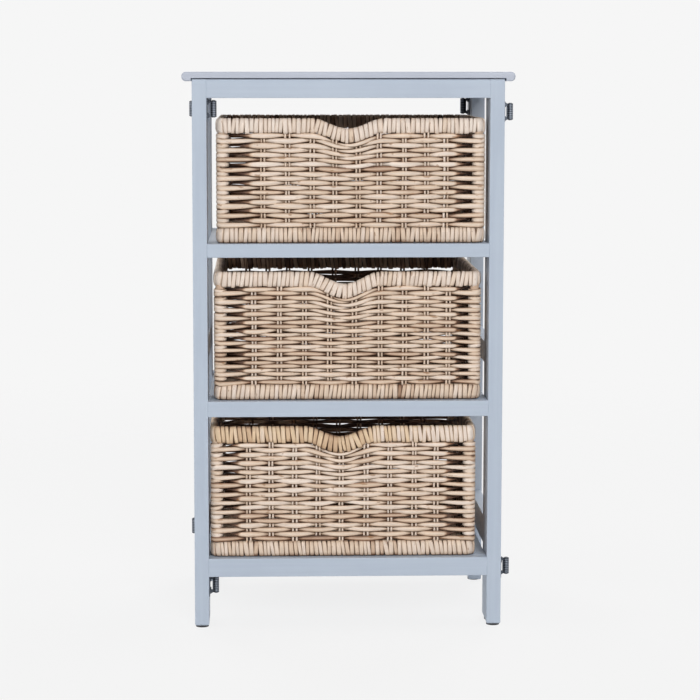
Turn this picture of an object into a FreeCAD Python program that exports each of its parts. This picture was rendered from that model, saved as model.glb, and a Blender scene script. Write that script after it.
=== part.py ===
"""Folding basket storage chest: a painted wooden frame, three drop-in shelves and three wicker baskets.

The front and rear frames are the same ladder, turned half round. Two narrower side ladders are hinged
between them, so the frame folds flat once the tabletop, the shelves and the baskets are lifted out.
Millimetres, +Z up, origin on the floor under the middle of the chest, front towards -Y.
"""

import FreeCAD
import Part
import Sketcher
import os
import re

# Driving sizes: name, value, meaning
SIZES = (
    ("overall_width", 460, "tabletop, end to end"),
    ("overall_depth", 340, "tabletop, front to back"),
    ("overall_height", 780, "floor to tabletop"),
    ("top_thickness", 13, "tabletop board"),
    ("top_side_overhang", 14, "tabletop past the legs at each end"),
    ("top_front_overhang", 5, "tabletop past the legs at front and back"),
    ("top_end_round", 6, "rounding of the tabletop's ends"),
    ("top_front_round", 2.5, "rounding of the tabletop's long edges"),
    ("housing_depth", 3, "recess under the tabletop that takes the frame's top"),
    ("housing_clearance", 1.2, "play of the frame in that recess"),
    ("shadow_gap_height", 1.4, "groove over the frame along the tabletop's front and back"),
    ("shadow_gap_depth", 9, "that groove, in from the tabletop's edge"),
    ("leg_width", 20, "legs and posts, across the chest"),
    ("leg_depth", 20, "legs, front to back"),
    ("leg_ease", 0.8, "rounding of the legs' and posts' long edges"),
    ("foot_taper_width", 1, "chamfer at the foot, sideways"),
    ("foot_taper_height", 2, "chamfer at the foot, upwards"),
    ("glide_height", 3, "nail-on glide under each leg and post"),
    ("glide_radius", 9.2, "nail-on glide"),
    ("rail_depth", 18, "front and rear rails, front to back"),
    ("rail_ease", 0.8, "rounding of the rails' long edges"),
    ("top_rail_height", 26, "front and rear top rails"),
    ("upper_rail_height", 19, "front and rear upper rails"),
    ("middle_rail_height", 22, "front and rear middle rails"),
    ("bottom_rail_height", 26, "front and rear bottom rails"),
    ("floor_gap", 72.5, "floor to the underside of the bottom rails"),
    ("post_depth", 38, "side frame posts, front to back"),
    ("hinge_gap", 1, "joint between a leg and its post"),
    ("side_rail_thickness", 16, "side rails, across the chest"),
    ("side_top_rail_height", 26, "side top rails"),
    ("side_middle_rail_height", 30, "side middle rails"),
    ("side_middle_rail_low", 366, "floor to the underside of the side middle rails"),
    ("side_bottom_rail_height", 40, "side bottom rails"),
    ("side_bottom_rail_lift", 5, "bottom shelf to the underside of the side bottom rails"),
    ("shelf_thickness", 10, "shelf panels"),
    ("shelf_clearance", 0.5, "play of a shelf between the rails and the posts"),
    ("shelf_ease", 0.6, "rounding of the shelves' long edges"),
    ("cleat_depth", 12, "ledges that carry the shelves, front to back"),
    ("cleat_height", 9, "ledges that carry the shelves, top to bottom"),
    ("cleat_end_gap", 4, "ledge end to post"),
    ("dowel_radius", 4, "glued dowels of the ladders"),
    ("dowel_in_rail", 16, "dowel depth in a rail"),
    ("dowel_in_upright", 10, "dowel depth in a leg or post"),
    ("dowel_end_gap", 0.5, "glue space past each end of a dowel"),
    ("fit_clearance", 0.05, "radial play of dowels, screws and hinge pins in their holes"),
    ("top_pin_radius", 4, "pins that locate the tabletop"),
    ("top_pin_in_post", 12, "locating pin depth in a post"),
    ("top_pin_in_top", 7, "locating pin depth in the tabletop"),
    ("leaf_thickness", 1.2, "hinge leaves"),
    ("leaf_length", 14, "hinge leaf along the leg or post"),
    ("leaf_height", 29, "hinge leaf, top to bottom"),
    ("leaf_gap", 0.1, "hinge leaf to the middle of the joint"),
    ("flange_reach", 5.4, "standing flange of a leaf, out from the wood"),
    ("window_start", 1.2, "window in the flange, out from the wood"),
    ("window_width", 3.2, "window in the flange"),
    ("window_height", 15, "window in the flange, top to bottom"),
    ("barrel_offset", 9.6, "hinge pin, out from the wood"),
    ("barrel_radius", 4, "hinge knuckles"),
    ("knuckle_pitch", 2.5, "one knuckle to the next"),
    ("knuckle_gap", 0.1, "play between knuckles"),
    ("hinge_pin_radius", 1.5, "hinge pins"),
    ("pin_head_radius", 2.3, "riveted heads of the hinge pins"),
    ("pin_head_height", 0.8, "riveted heads of the hinge pins"),
    ("inner_upper_gap", 0.5, "top rails to the upper inner hinges"),
    ("inner_lower_gap", 0.5, "bottom rails to the lower inner hinges"),
    ("outer_upper_drop", 45, "frame top to the middle of the upper outer hinges"),
    ("outer_lower_rise", 82, "floor to the middle of the lower outer hinges"),
    ("screw_radius", 1.4, "hinge screw shank"),
    ("screw_depth", 8, "hinge screw in the wood"),
    ("screw_head_radius", 2.7, "hinge screw head"),
    ("screw_head_top_radius", 1.8, "hinge screw head at its top"),
    ("screw_head_height", 1.4, "hinge screw head"),
    ("slot_width", 0.7, "driver slot"),
    ("slot_depth", 0.7, "driver slot"),
    ("screw_back", 8, "hinge joint to the screws"),
    ("screw_spread", 8, "screws from the middle of the leaf"),
    ("basket_side_gap", 7.75, "leg to basket, each side"),
    ("basket_front_recess", 10, "front of the legs to the basket front"),
    ("basket_rear_gap", 20, "basket back to the rear of the frame"),
    ("upper_basket_headroom", 27.5, "upper basket's rim to the rail above"),
    ("middle_basket_headroom", 20.5, "middle basket's rim to the rail above"),
    ("bottom_basket_headroom", 15, "bottom basket's rim to the rail above"),
    ("basket_corner_radius", 14, "corner of the rim, seen from above"),
    ("basket_rim_thickness", 13, "wrapped borders of the basket"),
    ("basket_rim_height", 22, "wrapped border at the rim"),
    ("basket_foot_height", 20.4, "wrapped border at the foot"),
    ("basket_wall_thickness", 9, "woven wall"),
    ("weave_relief", 2.9, "outer face of the weaving to the stakes behind it"),
    ("weave_top_gap", 2.6, "top row of weaving to the rim"),
    ("stake_pair_width", 8, "pair of stakes, side by side"),
    ("corner_post_width", 20, "wrapped corner posts of a basket"),
    ("basket_base_lift", 6, "shelf to the basket's base"),
    ("basket_base_thickness", 8, "woven base"),
    ("basket_base_clearance", 0.2, "base to the foot border"),
    ("scoop_width", 100, "dip in the front rim"),
    ("scoop_depth", 14, "dip in the front rim"),
    ("scoop_shift", -4, "dip from the middle of the basket"),
    ("upper_basket_shift", 3.75, "upper basket, sideways from the middle"),
    ("middle_basket_shift", -0.5, "middle basket, sideways from the middle"),
    ("bottom_basket_shift", -6.5, "bottom basket, sideways from the middle"),
    ("overrun", 1, "cutters past the faces that they cut"),
)

KNUCKLES = 9

# Rows of weaving in each basket, and its pairs of stakes as shares of its width and depth
ROWS = {"upper": 20, "middle": 24, "bottom": 22}
FRONT_STAKE_SHARES = {
    "upper": (-0.327, -0.235, -0.143, -0.059, 0.027, 0.105, 0.198, 0.281, 0.353),
    "middle": (-0.35, -0.255, -0.161, -0.068, 0.025, 0.122, 0.213, 0.294, 0.376),
    "bottom": (-0.356, -0.271, -0.183, -0.094, -0.008, 0.086, 0.175, 0.267, 0.35),
}
SIDE_STAKE_SHARES = (-0.35, -0.233, -0.117, 0, 0.117, 0.233, 0.35)

# A row's dip between two crossings in front of stakes, as shares of the distance between stakes
DIP_MOUTH_SHARE = 1.5
DIP_FLOOR_SHARE = 1

# Sizes and places that follow from the driving sizes
DERIVED = {
    "frame_width": "overall_width - 2 * top_side_overhang",
    "frame_depth": "overall_depth - 2 * top_front_overhang",
    "frame_top": "overall_height - top_thickness + housing_depth",
    "bay_width": "frame_width - 2 * leg_width",
    "leg_x": "frame_width / 2 - leg_width / 2",
    "leg_y": "frame_depth / 2 - leg_depth / 2",
    "joint_y": "frame_depth / 2 - leg_depth - hinge_gap / 2",
    "post_y": "frame_depth / 2 - leg_depth - hinge_gap - post_depth / 2",
    "rail_y": "frame_depth / 2 - rail_depth / 2",
    "top_rail_low": "frame_top - top_rail_height",
    "bottom_shelf_top": "floor_gap + bottom_rail_height",
    "bay_height": "(top_rail_low - bottom_shelf_top - middle_rail_height - upper_rail_height) / 3",
    "middle_shelf_top": "bottom_shelf_top + bay_height + middle_rail_height",
    "upper_shelf_top": "middle_shelf_top + bay_height + upper_rail_height",
    "side_rail_length": "2 * post_y - post_depth",
    "side_top_rail_low": "frame_top - side_top_rail_height",
    "side_bottom_rail_low": "bottom_shelf_top + side_bottom_rail_lift",
    "shelf_width": "bay_width - 2 * shelf_clearance",
    "shelf_depth": "frame_depth - 2 * rail_depth - 2 * shelf_clearance",
    "cleat_y": "frame_depth / 2 - rail_depth - cleat_depth / 2",
    "barrel_height": f"{KNUCKLES} * knuckle_pitch",
    "inner_upper_hinge": "top_rail_low - inner_upper_gap - leaf_height / 2",
    "inner_lower_hinge": "floor_gap - inner_lower_gap - leaf_height / 2",
    "outer_upper_hinge": "frame_top - outer_upper_drop",
    "outer_lower_hinge": "outer_lower_rise",
    "basket_width": "bay_width - 2 * basket_side_gap",
    "basket_depth": "frame_depth - basket_front_recess - basket_rear_gap",
    "basket_y": "basket_front_recess / 2 - basket_rear_gap / 2",
    "basket_front": "basket_front_recess - frame_depth / 2",
    "wall_inset": "basket_rim_thickness / 2 - basket_wall_thickness / 2",
}

X_AXIS = FreeCAD.Vector(1, 0, 0)
Y_AXIS = FreeCAD.Vector(0, 1, 0)
Z_AXIS = FreeCAD.Vector(0, 0, 1)

SIDES = (("left", -1), ("right", 1))
ENDS = (("front", -1), ("rear", 1))
LEVELS = ("upper", "middle", "bottom")
for level in LEVELS:
    DERIVED[f"{level}_basket_height"] = f"bay_height - {level}_basket_headroom"

document = FreeCAD.newDocument("basket_chest")
sheet = document.addObject("Spreadsheet::Sheet", "Sizes")
for row, (alias, value, meaning) in enumerate(SIZES, start=1):
    sheet.set(f"A{row}", meaning)
    sheet.set(f"B{row}", str(value))
    sheet.setAlias(f"B{row}", alias)
document.recompute()

boards = {}
cutters = {}
nodes = {}


def formula(text):
    """Write out a formula in the sheet's own names."""

    def cell(match):
        name = match.group()
        if name in DERIVED:
            return f"({formula(DERIVED[name])})"
        return f"Sizes.{name}"

    return re.sub(r"[a-z_]+", cell, text)


def amount(text):
    """Give a formula's value in millimetres."""
    return float(sheet.evalExpression(formula(text)))


def bind(piece, **formulas):
    """Tie properties of a piece to formulas."""
    for name, text in formulas.items():
        piece.setExpression(name, formula(text))


def put(piece, place, rotation=FreeCAD.Rotation()):
    """Turn a piece and tie its place to three formulas."""
    piece.Placement = FreeCAD.Placement(FreeCAD.Vector(), rotation)
    for axis, text in zip("xyz", place):
        piece.setExpression(f"Placement.Base.{axis}", formula(text))


def block(name, size, middle, low):
    """A box of three formulas, given the middle of its plan and its underside."""
    piece = document.addObject("Part::Box", name)
    bind(piece, Length=size[0], Width=size[1], Height=size[2])
    put(piece, (f"{middle[0]} - ({size[0]}) / 2", f"{middle[1]} - ({size[1]}) / 2", low))
    return piece


def rod(name, radius, length, start, direction=Z_AXIS):
    """A cylinder from its start point along a direction."""
    piece = document.addObject("Part::Cylinder", name)
    bind(piece, Radius=radius, Height=length)
    put(piece, start, FreeCAD.Rotation(Z_AXIS, direction))
    return piece


def joined(name, pieces):
    """Fuse pieces into one solid."""
    piece = document.addObject("Part::MultiFuse", name)
    piece.Shapes = pieces
    return piece


def cut(name, base, tool):
    """Cut one piece by another."""
    piece = document.addObject("Part::Cut", name)
    piece.Base = base
    piece.Tool = tool
    return piece


def gathered(name, pieces):
    """Keep separate pieces together in one group."""
    piece = document.addObject("Part::Compound", name)
    piece.Links = pieces
    return piece


def copy_of(name, piece, place, rotation=FreeCAD.Rotation()):
    """Repeat a piece at another place."""
    link = document.addObject("App::Link", name)
    link.LinkedObject = piece
    put(link, place, rotation)
    return link


def eased(name, base, radius, direction):
    """Round the straight edges of a piece that run along a direction."""
    document.recompute()
    size = amount(radius)
    piece = document.addObject("Part::Fillet", name)
    piece.Base = base
    piece.Edges = [
        (number, size, size)
        for number, edge in enumerate(base.Shape.Edges, start=1)
        if abs(edge.tangentAt(edge.FirstParameter).dot(direction)) > 0.99
    ]
    return piece


def board(label, size, middle, low, ease, direction):
    """A board with its long edges eased, kept under its label until its holes are known."""
    blank = block(f"{label}_blank", size, middle, low)
    boards[label] = eased(f"{label}_board", blank, ease, direction)
    cutters[label] = []


def upright(label, depth, middle, low):
    """A leg or post with eased edges, its foot tapered all round."""
    height = f"frame_top - {low}"
    board(label, ("leg_width", depth, height), middle, low, "leg_ease", Z_AXIS)
    taper = document.addObject("Part::Wedge", f"{label}_taper")
    bind(taper, Ymin="0", Ymax="foot_taper_height")
    for axis, size in (("X", "leg_width"), ("Z", depth)):
        foot = f"{size} / 2 - foot_taper_width"
        bind(taper, **{f"{axis}min": f"-({foot})", f"{axis}max": foot})
        bind(taper, **{f"{axis}2min": f"-{size} / 2", f"{axis}2max": f"{size} / 2"})
    put(taper, (*middle, low), FreeCAD.Rotation(X_AXIS, 90))
    shaft = block(
        f"{label}_shaft",
        ("leg_width", depth, f"{height} - foot_taper_height"),
        middle,
        f"{low} + foot_taper_height",
    )
    piece = document.addObject("Part::Common", f"{label}_footed")
    piece.Base = boards[label]
    piece.Tool = joined(f"{label}_outline", [taper, shaft])
    boards[label] = piece


def dowel(name, place, direction, back, forward, labels):
    """A dowel across a joint, and its hole in the boards on both sides."""
    axis = "xyz"[[abs(direction.x), abs(direction.y), abs(direction.z)].index(1)]
    sign = direction.x + direction.y + direction.z
    number = "xyz".index(axis)

    def start(extra):
        point = list(place)
        point[number] = f"{place[number]} - ({sign}) * ({back} + {extra})"
        return point

    hole = rod(
        f"{name}_hole",
        "dowel_radius + fit_clearance",
        f"{back} + {forward} + 2 * dowel_end_gap",
        start("dowel_end_gap"),
        direction,
    )
    for label in labels:
        cutters[label].append(hole)
    return rod(name, "dowel_radius", f"{back} + {forward}", start("0"), direction)


def rectangle(sketch, width, depth):
    """Draw a rectangle about the sketch's origin, its sides tied to formulas."""
    half_width = amount(width) / 2
    half_depth = amount(depth) / 2
    corners = [
        FreeCAD.Vector(side * half_width, end * half_depth, 0)
        for side, end in ((-1, -1), (1, -1), (1, 1), (-1, 1))
    ]
    for number, corner in enumerate(corners):
        sketch.addGeometry(Part.LineSegment(corner, corners[(number + 1) % len(corners)]))
    for number in range(len(corners)):
        sketch.addConstraint(Sketcher.Constraint("Coincident", number, 2, (number + 1) % len(corners), 1))
    sketch.addConstraint(Sketcher.Constraint("Horizontal", 0))
    sketch.addConstraint(Sketcher.Constraint("Horizontal", 2))
    sketch.addConstraint(Sketcher.Constraint("Vertical", 1))
    sketch.addConstraint(Sketcher.Constraint("Vertical", 3))
    sketch.addConstraint(Sketcher.Constraint("Symmetric", 0, 1, 1, 2, -1, 1))
    across = sketch.addConstraint(Sketcher.Constraint("DistanceX", 0, 1, 0, 2, 2 * half_width))
    along = sketch.addConstraint(Sketcher.Constraint("DistanceY", 1, 1, 1, 2, 2 * half_depth))
    sketch.setExpression(f"Constraints[{across}]", formula(width))
    sketch.setExpression(f"Constraints[{along}]", formula(depth))


def plan_sketch(body, name, width, depth):
    """Sketch a rectangle on a body's own ground plane."""
    sketch = body.newObject("Sketcher::SketchObject", name)
    plane = next(item for item in body.Origin.OriginFeatures if item.Role == "XY_Plane")
    sketch.AttachmentSupport = (plane, "")
    sketch.MapMode = "FlatFace"
    rectangle(sketch, width, depth)
    return sketch


def edge_names(shape, chosen):
    """Name the edges of a shape that pass a test."""
    return [f"Edge{number}" for number, edge in enumerate(shape.Edges, start=1) if chosen(edge)]


def make_tabletop():
    """Tabletop: rounded ends, eased long edges, and underneath a shallow housing for the frame and a groove
    along the front and the back that leaves a shadow line over the rails."""
    body = document.addObject("PartDesign::Body", "tabletop_body")
    slab = body.newObject("PartDesign::Pad", "tabletop_slab")
    slab.Profile = plan_sketch(body, "tabletop_outline", "overall_width", "overall_depth")
    bind(slab, Length="top_thickness")
    document.recompute()

    ends = body.newObject("PartDesign::Fillet", "tabletop_ends")
    end_edges = edge_names(slab.Shape, lambda edge: edge.BoundBox.YLength > amount("overall_depth") / 2)
    ends.Base = (slab, end_edges)
    bind(ends, Radius="top_end_round")
    document.recompute()

    fronts = body.newObject("PartDesign::Fillet", "tabletop_fronts")
    long_edges = edge_names(
        ends.Shape,
        lambda edge: edge.BoundBox.XLength > amount("overall_width") / 2
        and edge.BoundBox.ZMin > amount("top_thickness") / 2,
    )
    fronts.Base = (ends, long_edges)
    bind(fronts, Radius="top_front_round")
    document.recompute()

    housing = body.newObject("PartDesign::Pocket", "tabletop_housing")
    housing.Profile = plan_sketch(
        body,
        "tabletop_housing_outline",
        "frame_width + 2 * housing_clearance",
        "overall_depth + 2 * overrun",
    )
    housing.Reversed = True
    bind(housing, Length="housing_depth")
    put(body, ("0", "0", "overall_height - top_thickness"))
    boards["tabletop"] = body
    cutters["tabletop"] = [
        block(
            f"tabletop_{end}_shadow_gap",
            (
                "frame_width + 2 * housing_clearance",
                "shadow_gap_depth + overrun",
                "shadow_gap_height + overrun",
            ),
            ("0", f"{toward} * (overall_depth + overrun - shadow_gap_depth) / 2"),
            "frame_top - overrun",
        )
        for end, toward in ENDS
    ]


def make_uprights():
    """Four legs of the front and rear ladders, and four posts of the side ladders."""
    for end, toward in ENDS:
        for side, across in SIDES:
            x_place = f"{across} * (leg_x)"
            upright(f"{end}_{side}_leg", "leg_depth", (x_place, f"{toward} * (leg_y)"), "glide_height")
            upright(f"{side}_{end}_post", "post_depth", (x_place, f"{toward} * (post_y)"), "glide_height")


def make_rails():
    """Rails of the front and rear ladders, dowelled into the legs."""
    heights = {
        "top": ("top_rail_height", "top_rail_low"),
        "upper": ("upper_rail_height", "upper_shelf_top - upper_rail_height"),
        "middle": ("middle_rail_height", "middle_shelf_top - middle_rail_height"),
        "bottom": ("bottom_rail_height", "floor_gap"),
    }
    dowels = []
    for end, toward in ENDS:
        for name, (height, low) in heights.items():
            label = f"{end}_{name}_rail"
            place = ("0", f"{toward} * (rail_y)")
            board(label, ("bay_width", "rail_depth", height), place, low, "rail_ease", X_AXIS)
            for side, across in SIDES:
                joint = (f"{across} * (bay_width) / 2", place[1], f"{low} + ({height}) / 2")
                dowels.append(
                    dowel(
                        f"{label}_{side}_dowel",
                        joint,
                        X_AXIS * across,
                        "dowel_in_rail",
                        "dowel_in_upright",
                        (label, f"{end}_{side}_leg"),
                    )
                )
    nodes["ladder_dowels"] = gathered("ladder_dowels", dowels)


def make_side_rails():
    """Rails of the two side ladders, dowelled into the posts."""
    heights = {
        "top": ("side_top_rail_height", "side_top_rail_low"),
        "middle": ("side_middle_rail_height", "side_middle_rail_low"),
        "bottom": ("side_bottom_rail_height", "side_bottom_rail_low"),
    }
    dowels = []
    for side, across in SIDES:
        for name, (height, low) in heights.items():
            label = f"{side}_{name}_side_rail"
            place = (f"{across} * (leg_x)", "0")
            size = ("side_rail_thickness", "side_rail_length", height)
            board(label, size, place, low, "rail_ease", Y_AXIS)
            for end, toward in ENDS:
                joint = (place[0], f"{toward} * (side_rail_length) / 2", f"{low} + ({height}) / 2")
                dowels.append(
                    dowel(
                        f"{label}_{end}_dowel",
                        joint,
                        Y_AXIS * toward,
                        "dowel_in_rail",
                        "dowel_in_upright",
                        (label, f"{side}_{end}_post"),
                    )
                )
    nodes["side_ladder_dowels"] = gathered("side_ladder_dowels", dowels)


def make_shelves():
    """Drop-in shelves, flush with the rails and carried on ledges glued behind them."""
    for level in LEVELS:
        top = f"{level}_shelf_top"
        board(
            f"{level}_shelf",
            ("shelf_width", "shelf_depth", "shelf_thickness"),
            ("0", "0"),
            f"{top} - shelf_thickness",
            "shelf_ease",
            X_AXIS,
        )
        ledges = [
            eased(
                f"{level}_{end}_ledge",
                block(
                    f"{level}_{end}_ledge_blank",
                    ("bay_width - 2 * cleat_end_gap", "cleat_depth", "cleat_height"),
                    ("0", f"{toward} * (cleat_y)"),
                    f"{top} - shelf_thickness - cleat_height",
                ),
                "shelf_ease",
                X_AXIS,
            )
            for end, toward in ENDS
        ]
        nodes[f"{level}_shelf_ledges"] = gathered(f"{level}_shelf_ledges", ledges)


def make_top_pins():
    """Pins in the posts that hold the tabletop in place and the ladders square."""
    pins = []
    length = "top_pin_in_post + top_pin_in_top"
    for end, toward in ENDS:
        for side, across in SIDES:
            name = f"{side}_{end}_top_pin"
            place = (f"{across} * (leg_x)", f"{toward} * (post_y)")
            low = "frame_top - top_pin_in_post"
            hole = rod(
                f"{name}_hole",
                "top_pin_radius + fit_clearance",
                f"{length} + 2 * dowel_end_gap",
                (*place, f"{low} - dowel_end_gap"),
            )
            cutters["tabletop"].append(hole)
            cutters[f"{side}_{end}_post"].append(hole)
            pins.append(rod(name, "top_pin_radius", length, (*place, low)))
    nodes["tabletop_pins"] = gathered("tabletop_pins", pins)


def make_glides():
    """Nail-on glides under the legs and posts."""
    glides = []
    for end, toward in ENDS:
        for side, across in SIDES:
            for wood in ("leg", "post"):
                place = (f"{across} * (leg_x)", f"{toward} * ({wood}_y)", "0")
                glides.append(rod(f"{end}_{side}_{wood}_glide", "glide_radius", "glide_height", place))
    nodes["foot_glides"] = gathered("foot_glides", glides)


def make_leaf(name, side, knuckles):
    """Pressed hinge leaf about the middle of its joint: a plate on the wood at x = 0, a windowed
    flange that stands out along +X, and every second knuckle. Side is -1 on the leg, 1 on the post."""
    plate = block(
        f"{name}_plate",
        ("leaf_thickness", "leaf_length", "leaf_height"),
        ("leaf_thickness / 2", f"{side} * (leaf_gap + leaf_length / 2)"),
        "-leaf_height / 2",
    )
    flange = document.addObject("Part::Wedge", f"{name}_flange")
    gap = f"{-side} * (leaf_gap + leaf_thickness / 2)"
    near = f"{gap} - leaf_thickness / 2"
    far = f"{gap} + leaf_thickness / 2"
    bind(flange, Xmin=near, Xmax=far, X2min=near, X2max=far, Ymin="0", Ymax="flange_reach")
    bind(flange, Zmin="-leaf_height / 2", Zmax="leaf_height / 2")
    bind(flange, Z2min="-(barrel_height) / 2", Z2max="(barrel_height) / 2")
    put(flange, ("0", "0", "0"), FreeCAD.Rotation(Z_AXIS, -90))
    solids = [plate, flange]
    middle_y = f"{side} * (leaf_gap + leaf_thickness / 2)"
    for number in knuckles:
        low = f"{number} * knuckle_pitch - (barrel_height) / 2 + knuckle_gap / 2"
        height = "knuckle_pitch - knuckle_gap"
        web = "barrel_offset - hinge_pin_radius - flange_reach + leaf_thickness"
        solids.append(rod(f"{name}_knuckle_{number}", "barrel_radius", height, ("barrel_offset", "0", low)))
        solids.append(
            block(
                f"{name}_web_{number}",
                (web, "leaf_thickness", height),
                (f"flange_reach - leaf_thickness + ({web}) / 2", middle_y),
                low,
            )
        )
    window = block(
        f"{name}_window",
        ("window_width", "leaf_thickness + 2 * overrun", "window_height"),
        ("window_start + window_width / 2", middle_y),
        "-window_height / 2",
    )
    bore = rod(
        f"{name}_bore",
        "hinge_pin_radius + fit_clearance",
        "barrel_height + 2 * overrun",
        ("barrel_offset", "0", "-(barrel_height) / 2 - overrun"),
    )
    holes = [
        rod(
            f"{name}_hole_{number}",
            "screw_radius + fit_clearance",
            "leaf_thickness + 2 * overrun",
            ("-overrun", f"{side} * screw_back", f"{up} * screw_spread"),
            X_AXIS,
        )
        for number, up in enumerate((-1, 1))
    ]
    return cut(name, joined(f"{name}_blank", solids), joined(f"{name}_cuts", [window, bore, *holes]))


def make_hinge_pin():
    """Hinge pin with a riveted head at each end, about the middle of its hinge."""
    half = "(barrel_height) / 2"
    shank = rod("pin_shank", "hinge_pin_radius", "barrel_height", ("barrel_offset", "0", f"-{half}"))
    heads = [
        rod(f"pin_{name}_head", "pin_head_radius", "pin_head_height", ("barrel_offset", "0", low))
        for name, low in (("low", f"-{half} - pin_head_height"), ("high", half))
    ]
    return joined("hinge_pin", [shank, *heads])


def make_hinge_screw():
    """Round-head slotted screw, its axis on X and the wood's face at x = 0."""
    shank = rod(
        "screw_shank",
        "screw_radius",
        "screw_depth + leaf_thickness",
        ("-screw_depth", "0", "0"),
        X_AXIS,
    )
    head = document.addObject("Part::Cone", "screw_head")
    bind(head, Radius1="screw_head_radius", Radius2="screw_head_top_radius", Height="screw_head_height")
    put(head, ("leaf_thickness", "0", "0"), FreeCAD.Rotation(Z_AXIS, X_AXIS))
    slot = block(
        "screw_slot",
        ("2 * slot_depth", "slot_width", "2 * screw_head_radius"),
        ("leaf_thickness + screw_head_height", "0"),
        "-screw_head_radius",
    )
    return cut("hinge_screw", joined("screw_blank", [shank, head]), slot)


def make_hinges():
    """Two hinges at each corner. Those at two opposite corners sit inside the bay and the others
    outside, always on the same hand of their leg, so that all four corners swing the same way."""
    leaves = {
        "leg": make_leaf("leg_leaf", -1, range(0, KNUCKLES, 2)),
        "post": make_leaf("post_leaf", 1, range(1, KNUCKLES, 2)),
    }
    backs = {"leg": -1, "post": 1}
    pin = make_hinge_pin()
    screw = make_hinge_screw()
    corners = (
        ("front", "left", "-(bay_width) / 2", "inner"),
        ("front", "right", "(frame_width) / 2", "outer"),
        ("rear", "right", "(bay_width) / 2", "inner"),
        ("rear", "left", "-(frame_width) / 2", "outer"),
    )
    pins = []
    screws = []
    for end, side, face, where in corners:
        corner = f"{end}_{side}"
        turned = 1 if end == "front" else -1
        rotation = FreeCAD.Rotation(Z_AXIS, 0 if turned > 0 else 180)
        joint = f"{-turned} * (joint_y)"
        woods = {"leg": f"{end}_{side}_leg", "post": f"{side}_{end}_post"}
        sets = {"leg": [], "post": []}
        for height in ("upper", "lower"):
            middle = f"{where}_{height}_hinge"
            name = f"{corner}_{height}"
            pins.append(copy_of(f"{name}_pin", pin, (face, joint, middle), rotation))
            for kind, leaf in leaves.items():
                sets[kind].append(copy_of(f"{name}_{kind}_leaf", leaf, (face, joint, middle), rotation))
                for number, up in enumerate((-1, 1)):
                    place = (
                        face,
                        f"{joint} + {turned * backs[kind]} * screw_back",
                        f"{middle} + {up} * screw_spread",
                    )
                    label = f"{name}_{kind}_screw_{number}"
                    screws.append(copy_of(label, screw, place, rotation))
                    cutters[woods[kind]].append(
                        rod(
                            f"{label}_hole",
                            "screw_radius + fit_clearance",
                            "screw_depth + dowel_end_gap + overrun",
                            (f"{face} + {turned} * overrun", *place[1:]),
                            X_AXIS * -turned,
                        )
                    )
        for kind, copies in sets.items():
            label = f"{corner}_hinge_{kind}_leaves"
            nodes[label] = gathered(label, copies)
    nodes["hinge_pins"] = gathered("hinge_pins", pins)
    nodes["hinge_screws"] = gathered("hinge_screws", screws)


def make_ring(name, inset, thickness, shift, low, height):
    """A basket's rounded ring, inset from the rim's outline."""
    outer = eased(
        f"{name}_outside",
        block(
            f"{name}_outside_blank",
            (f"basket_width - 2 * ({inset})", f"basket_depth - 2 * ({inset})", height),
            (shift, "basket_y"),
            low,
        ),
        f"basket_corner_radius - ({inset})",
        Z_AXIS,
    )
    deep = f"{inset} + {thickness}"
    inner = eased(
        f"{name}_inside",
        block(
            f"{name}_inside_blank",
            (
                f"basket_width - 2 * ({deep})",
                f"basket_depth - 2 * ({deep})",
                f"{height} + 2 * overrun",
            ),
            (shift, "basket_y"),
            f"{low} - overrun",
        ),
        f"basket_corner_radius - ({deep})",
        Z_AXIS,
    )
    return cut(name, outer, inner)


def make_scoop(name, shift, level):
    """The dip in a basket's front: two equal arcs each side, level at the middle and at both ends."""
    half = amount("scoop_width") / 2
    depth = amount("scoop_depth")
    radius = (half**2 + depth**2) / (4 * depth)

    def arc(start, end, centre):
        to_middle = (start + end) / 2 - centre
        return Part.Arc(start, centre + to_middle.normalize() * radius, end).toShape()

    bottom = FreeCAD.Vector(0, 0, -depth)
    edges = []
    for across in (1, -1):
        shoulder = FreeCAD.Vector(across * half, 0, 0)
        middle = (shoulder + bottom) / 2
        edges.append(arc(shoulder, middle, shoulder - Z_AXIS * radius))
        edges.append(arc(middle, bottom, bottom + Z_AXIS * radius))
    edges.append(Part.LineSegment(shoulder, -shoulder).toShape())
    profile = Part.Face(Part.Wire(Part.__sortEdges__(edges)))
    length = amount("basket_rim_thickness + 2 * overrun")
    prism = document.addObject("Part::Feature", name)
    prism.Shape = profile.extrude(Y_AXIS * length)
    put(prism, (f"{shift} + scoop_shift", "basket_front - overrun", level))
    return prism


def make_dips(name, rows, height, spacing):
    """Two columns of the dips that rows make behind a pair of stakes: one for even rows, one for odd rows.

    A dip narrows inwards, from its mouth at the wall's outer face to its floor at the stakes."""
    row_height = f"({height}) / {rows}"
    floor = f"{DIP_FLOOR_SHARE} * {spacing}"
    mouth = f"{DIP_MOUTH_SHARE} * {spacing}"
    outside = f"({mouth} + ({mouth} - {floor}) * overrun / weave_relief)"
    dip = document.addObject("Part::Wedge", f"{name}_dip")
    bind(dip, Xmin=f"-{outside} / 2", Xmax=f"{outside} / 2", X2min=f"-{floor} / 2", X2max=f"{floor} / 2")
    bind(dip, Ymin="-overrun", Ymax="weave_relief")
    bind(dip, Zmin="0", Zmax=row_height, Z2min="0", Z2max=row_height)
    columns = []
    for first in range(2):
        copies = [
            copy_of(f"{name}_row_{row}_dip", dip, ("0", "0", f"{row} * {row_height}"))
            for row in range(first, rows, 2)
        ]
        columns.append(gathered(f"{name}_column_{first}", copies))
    return columns


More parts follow.
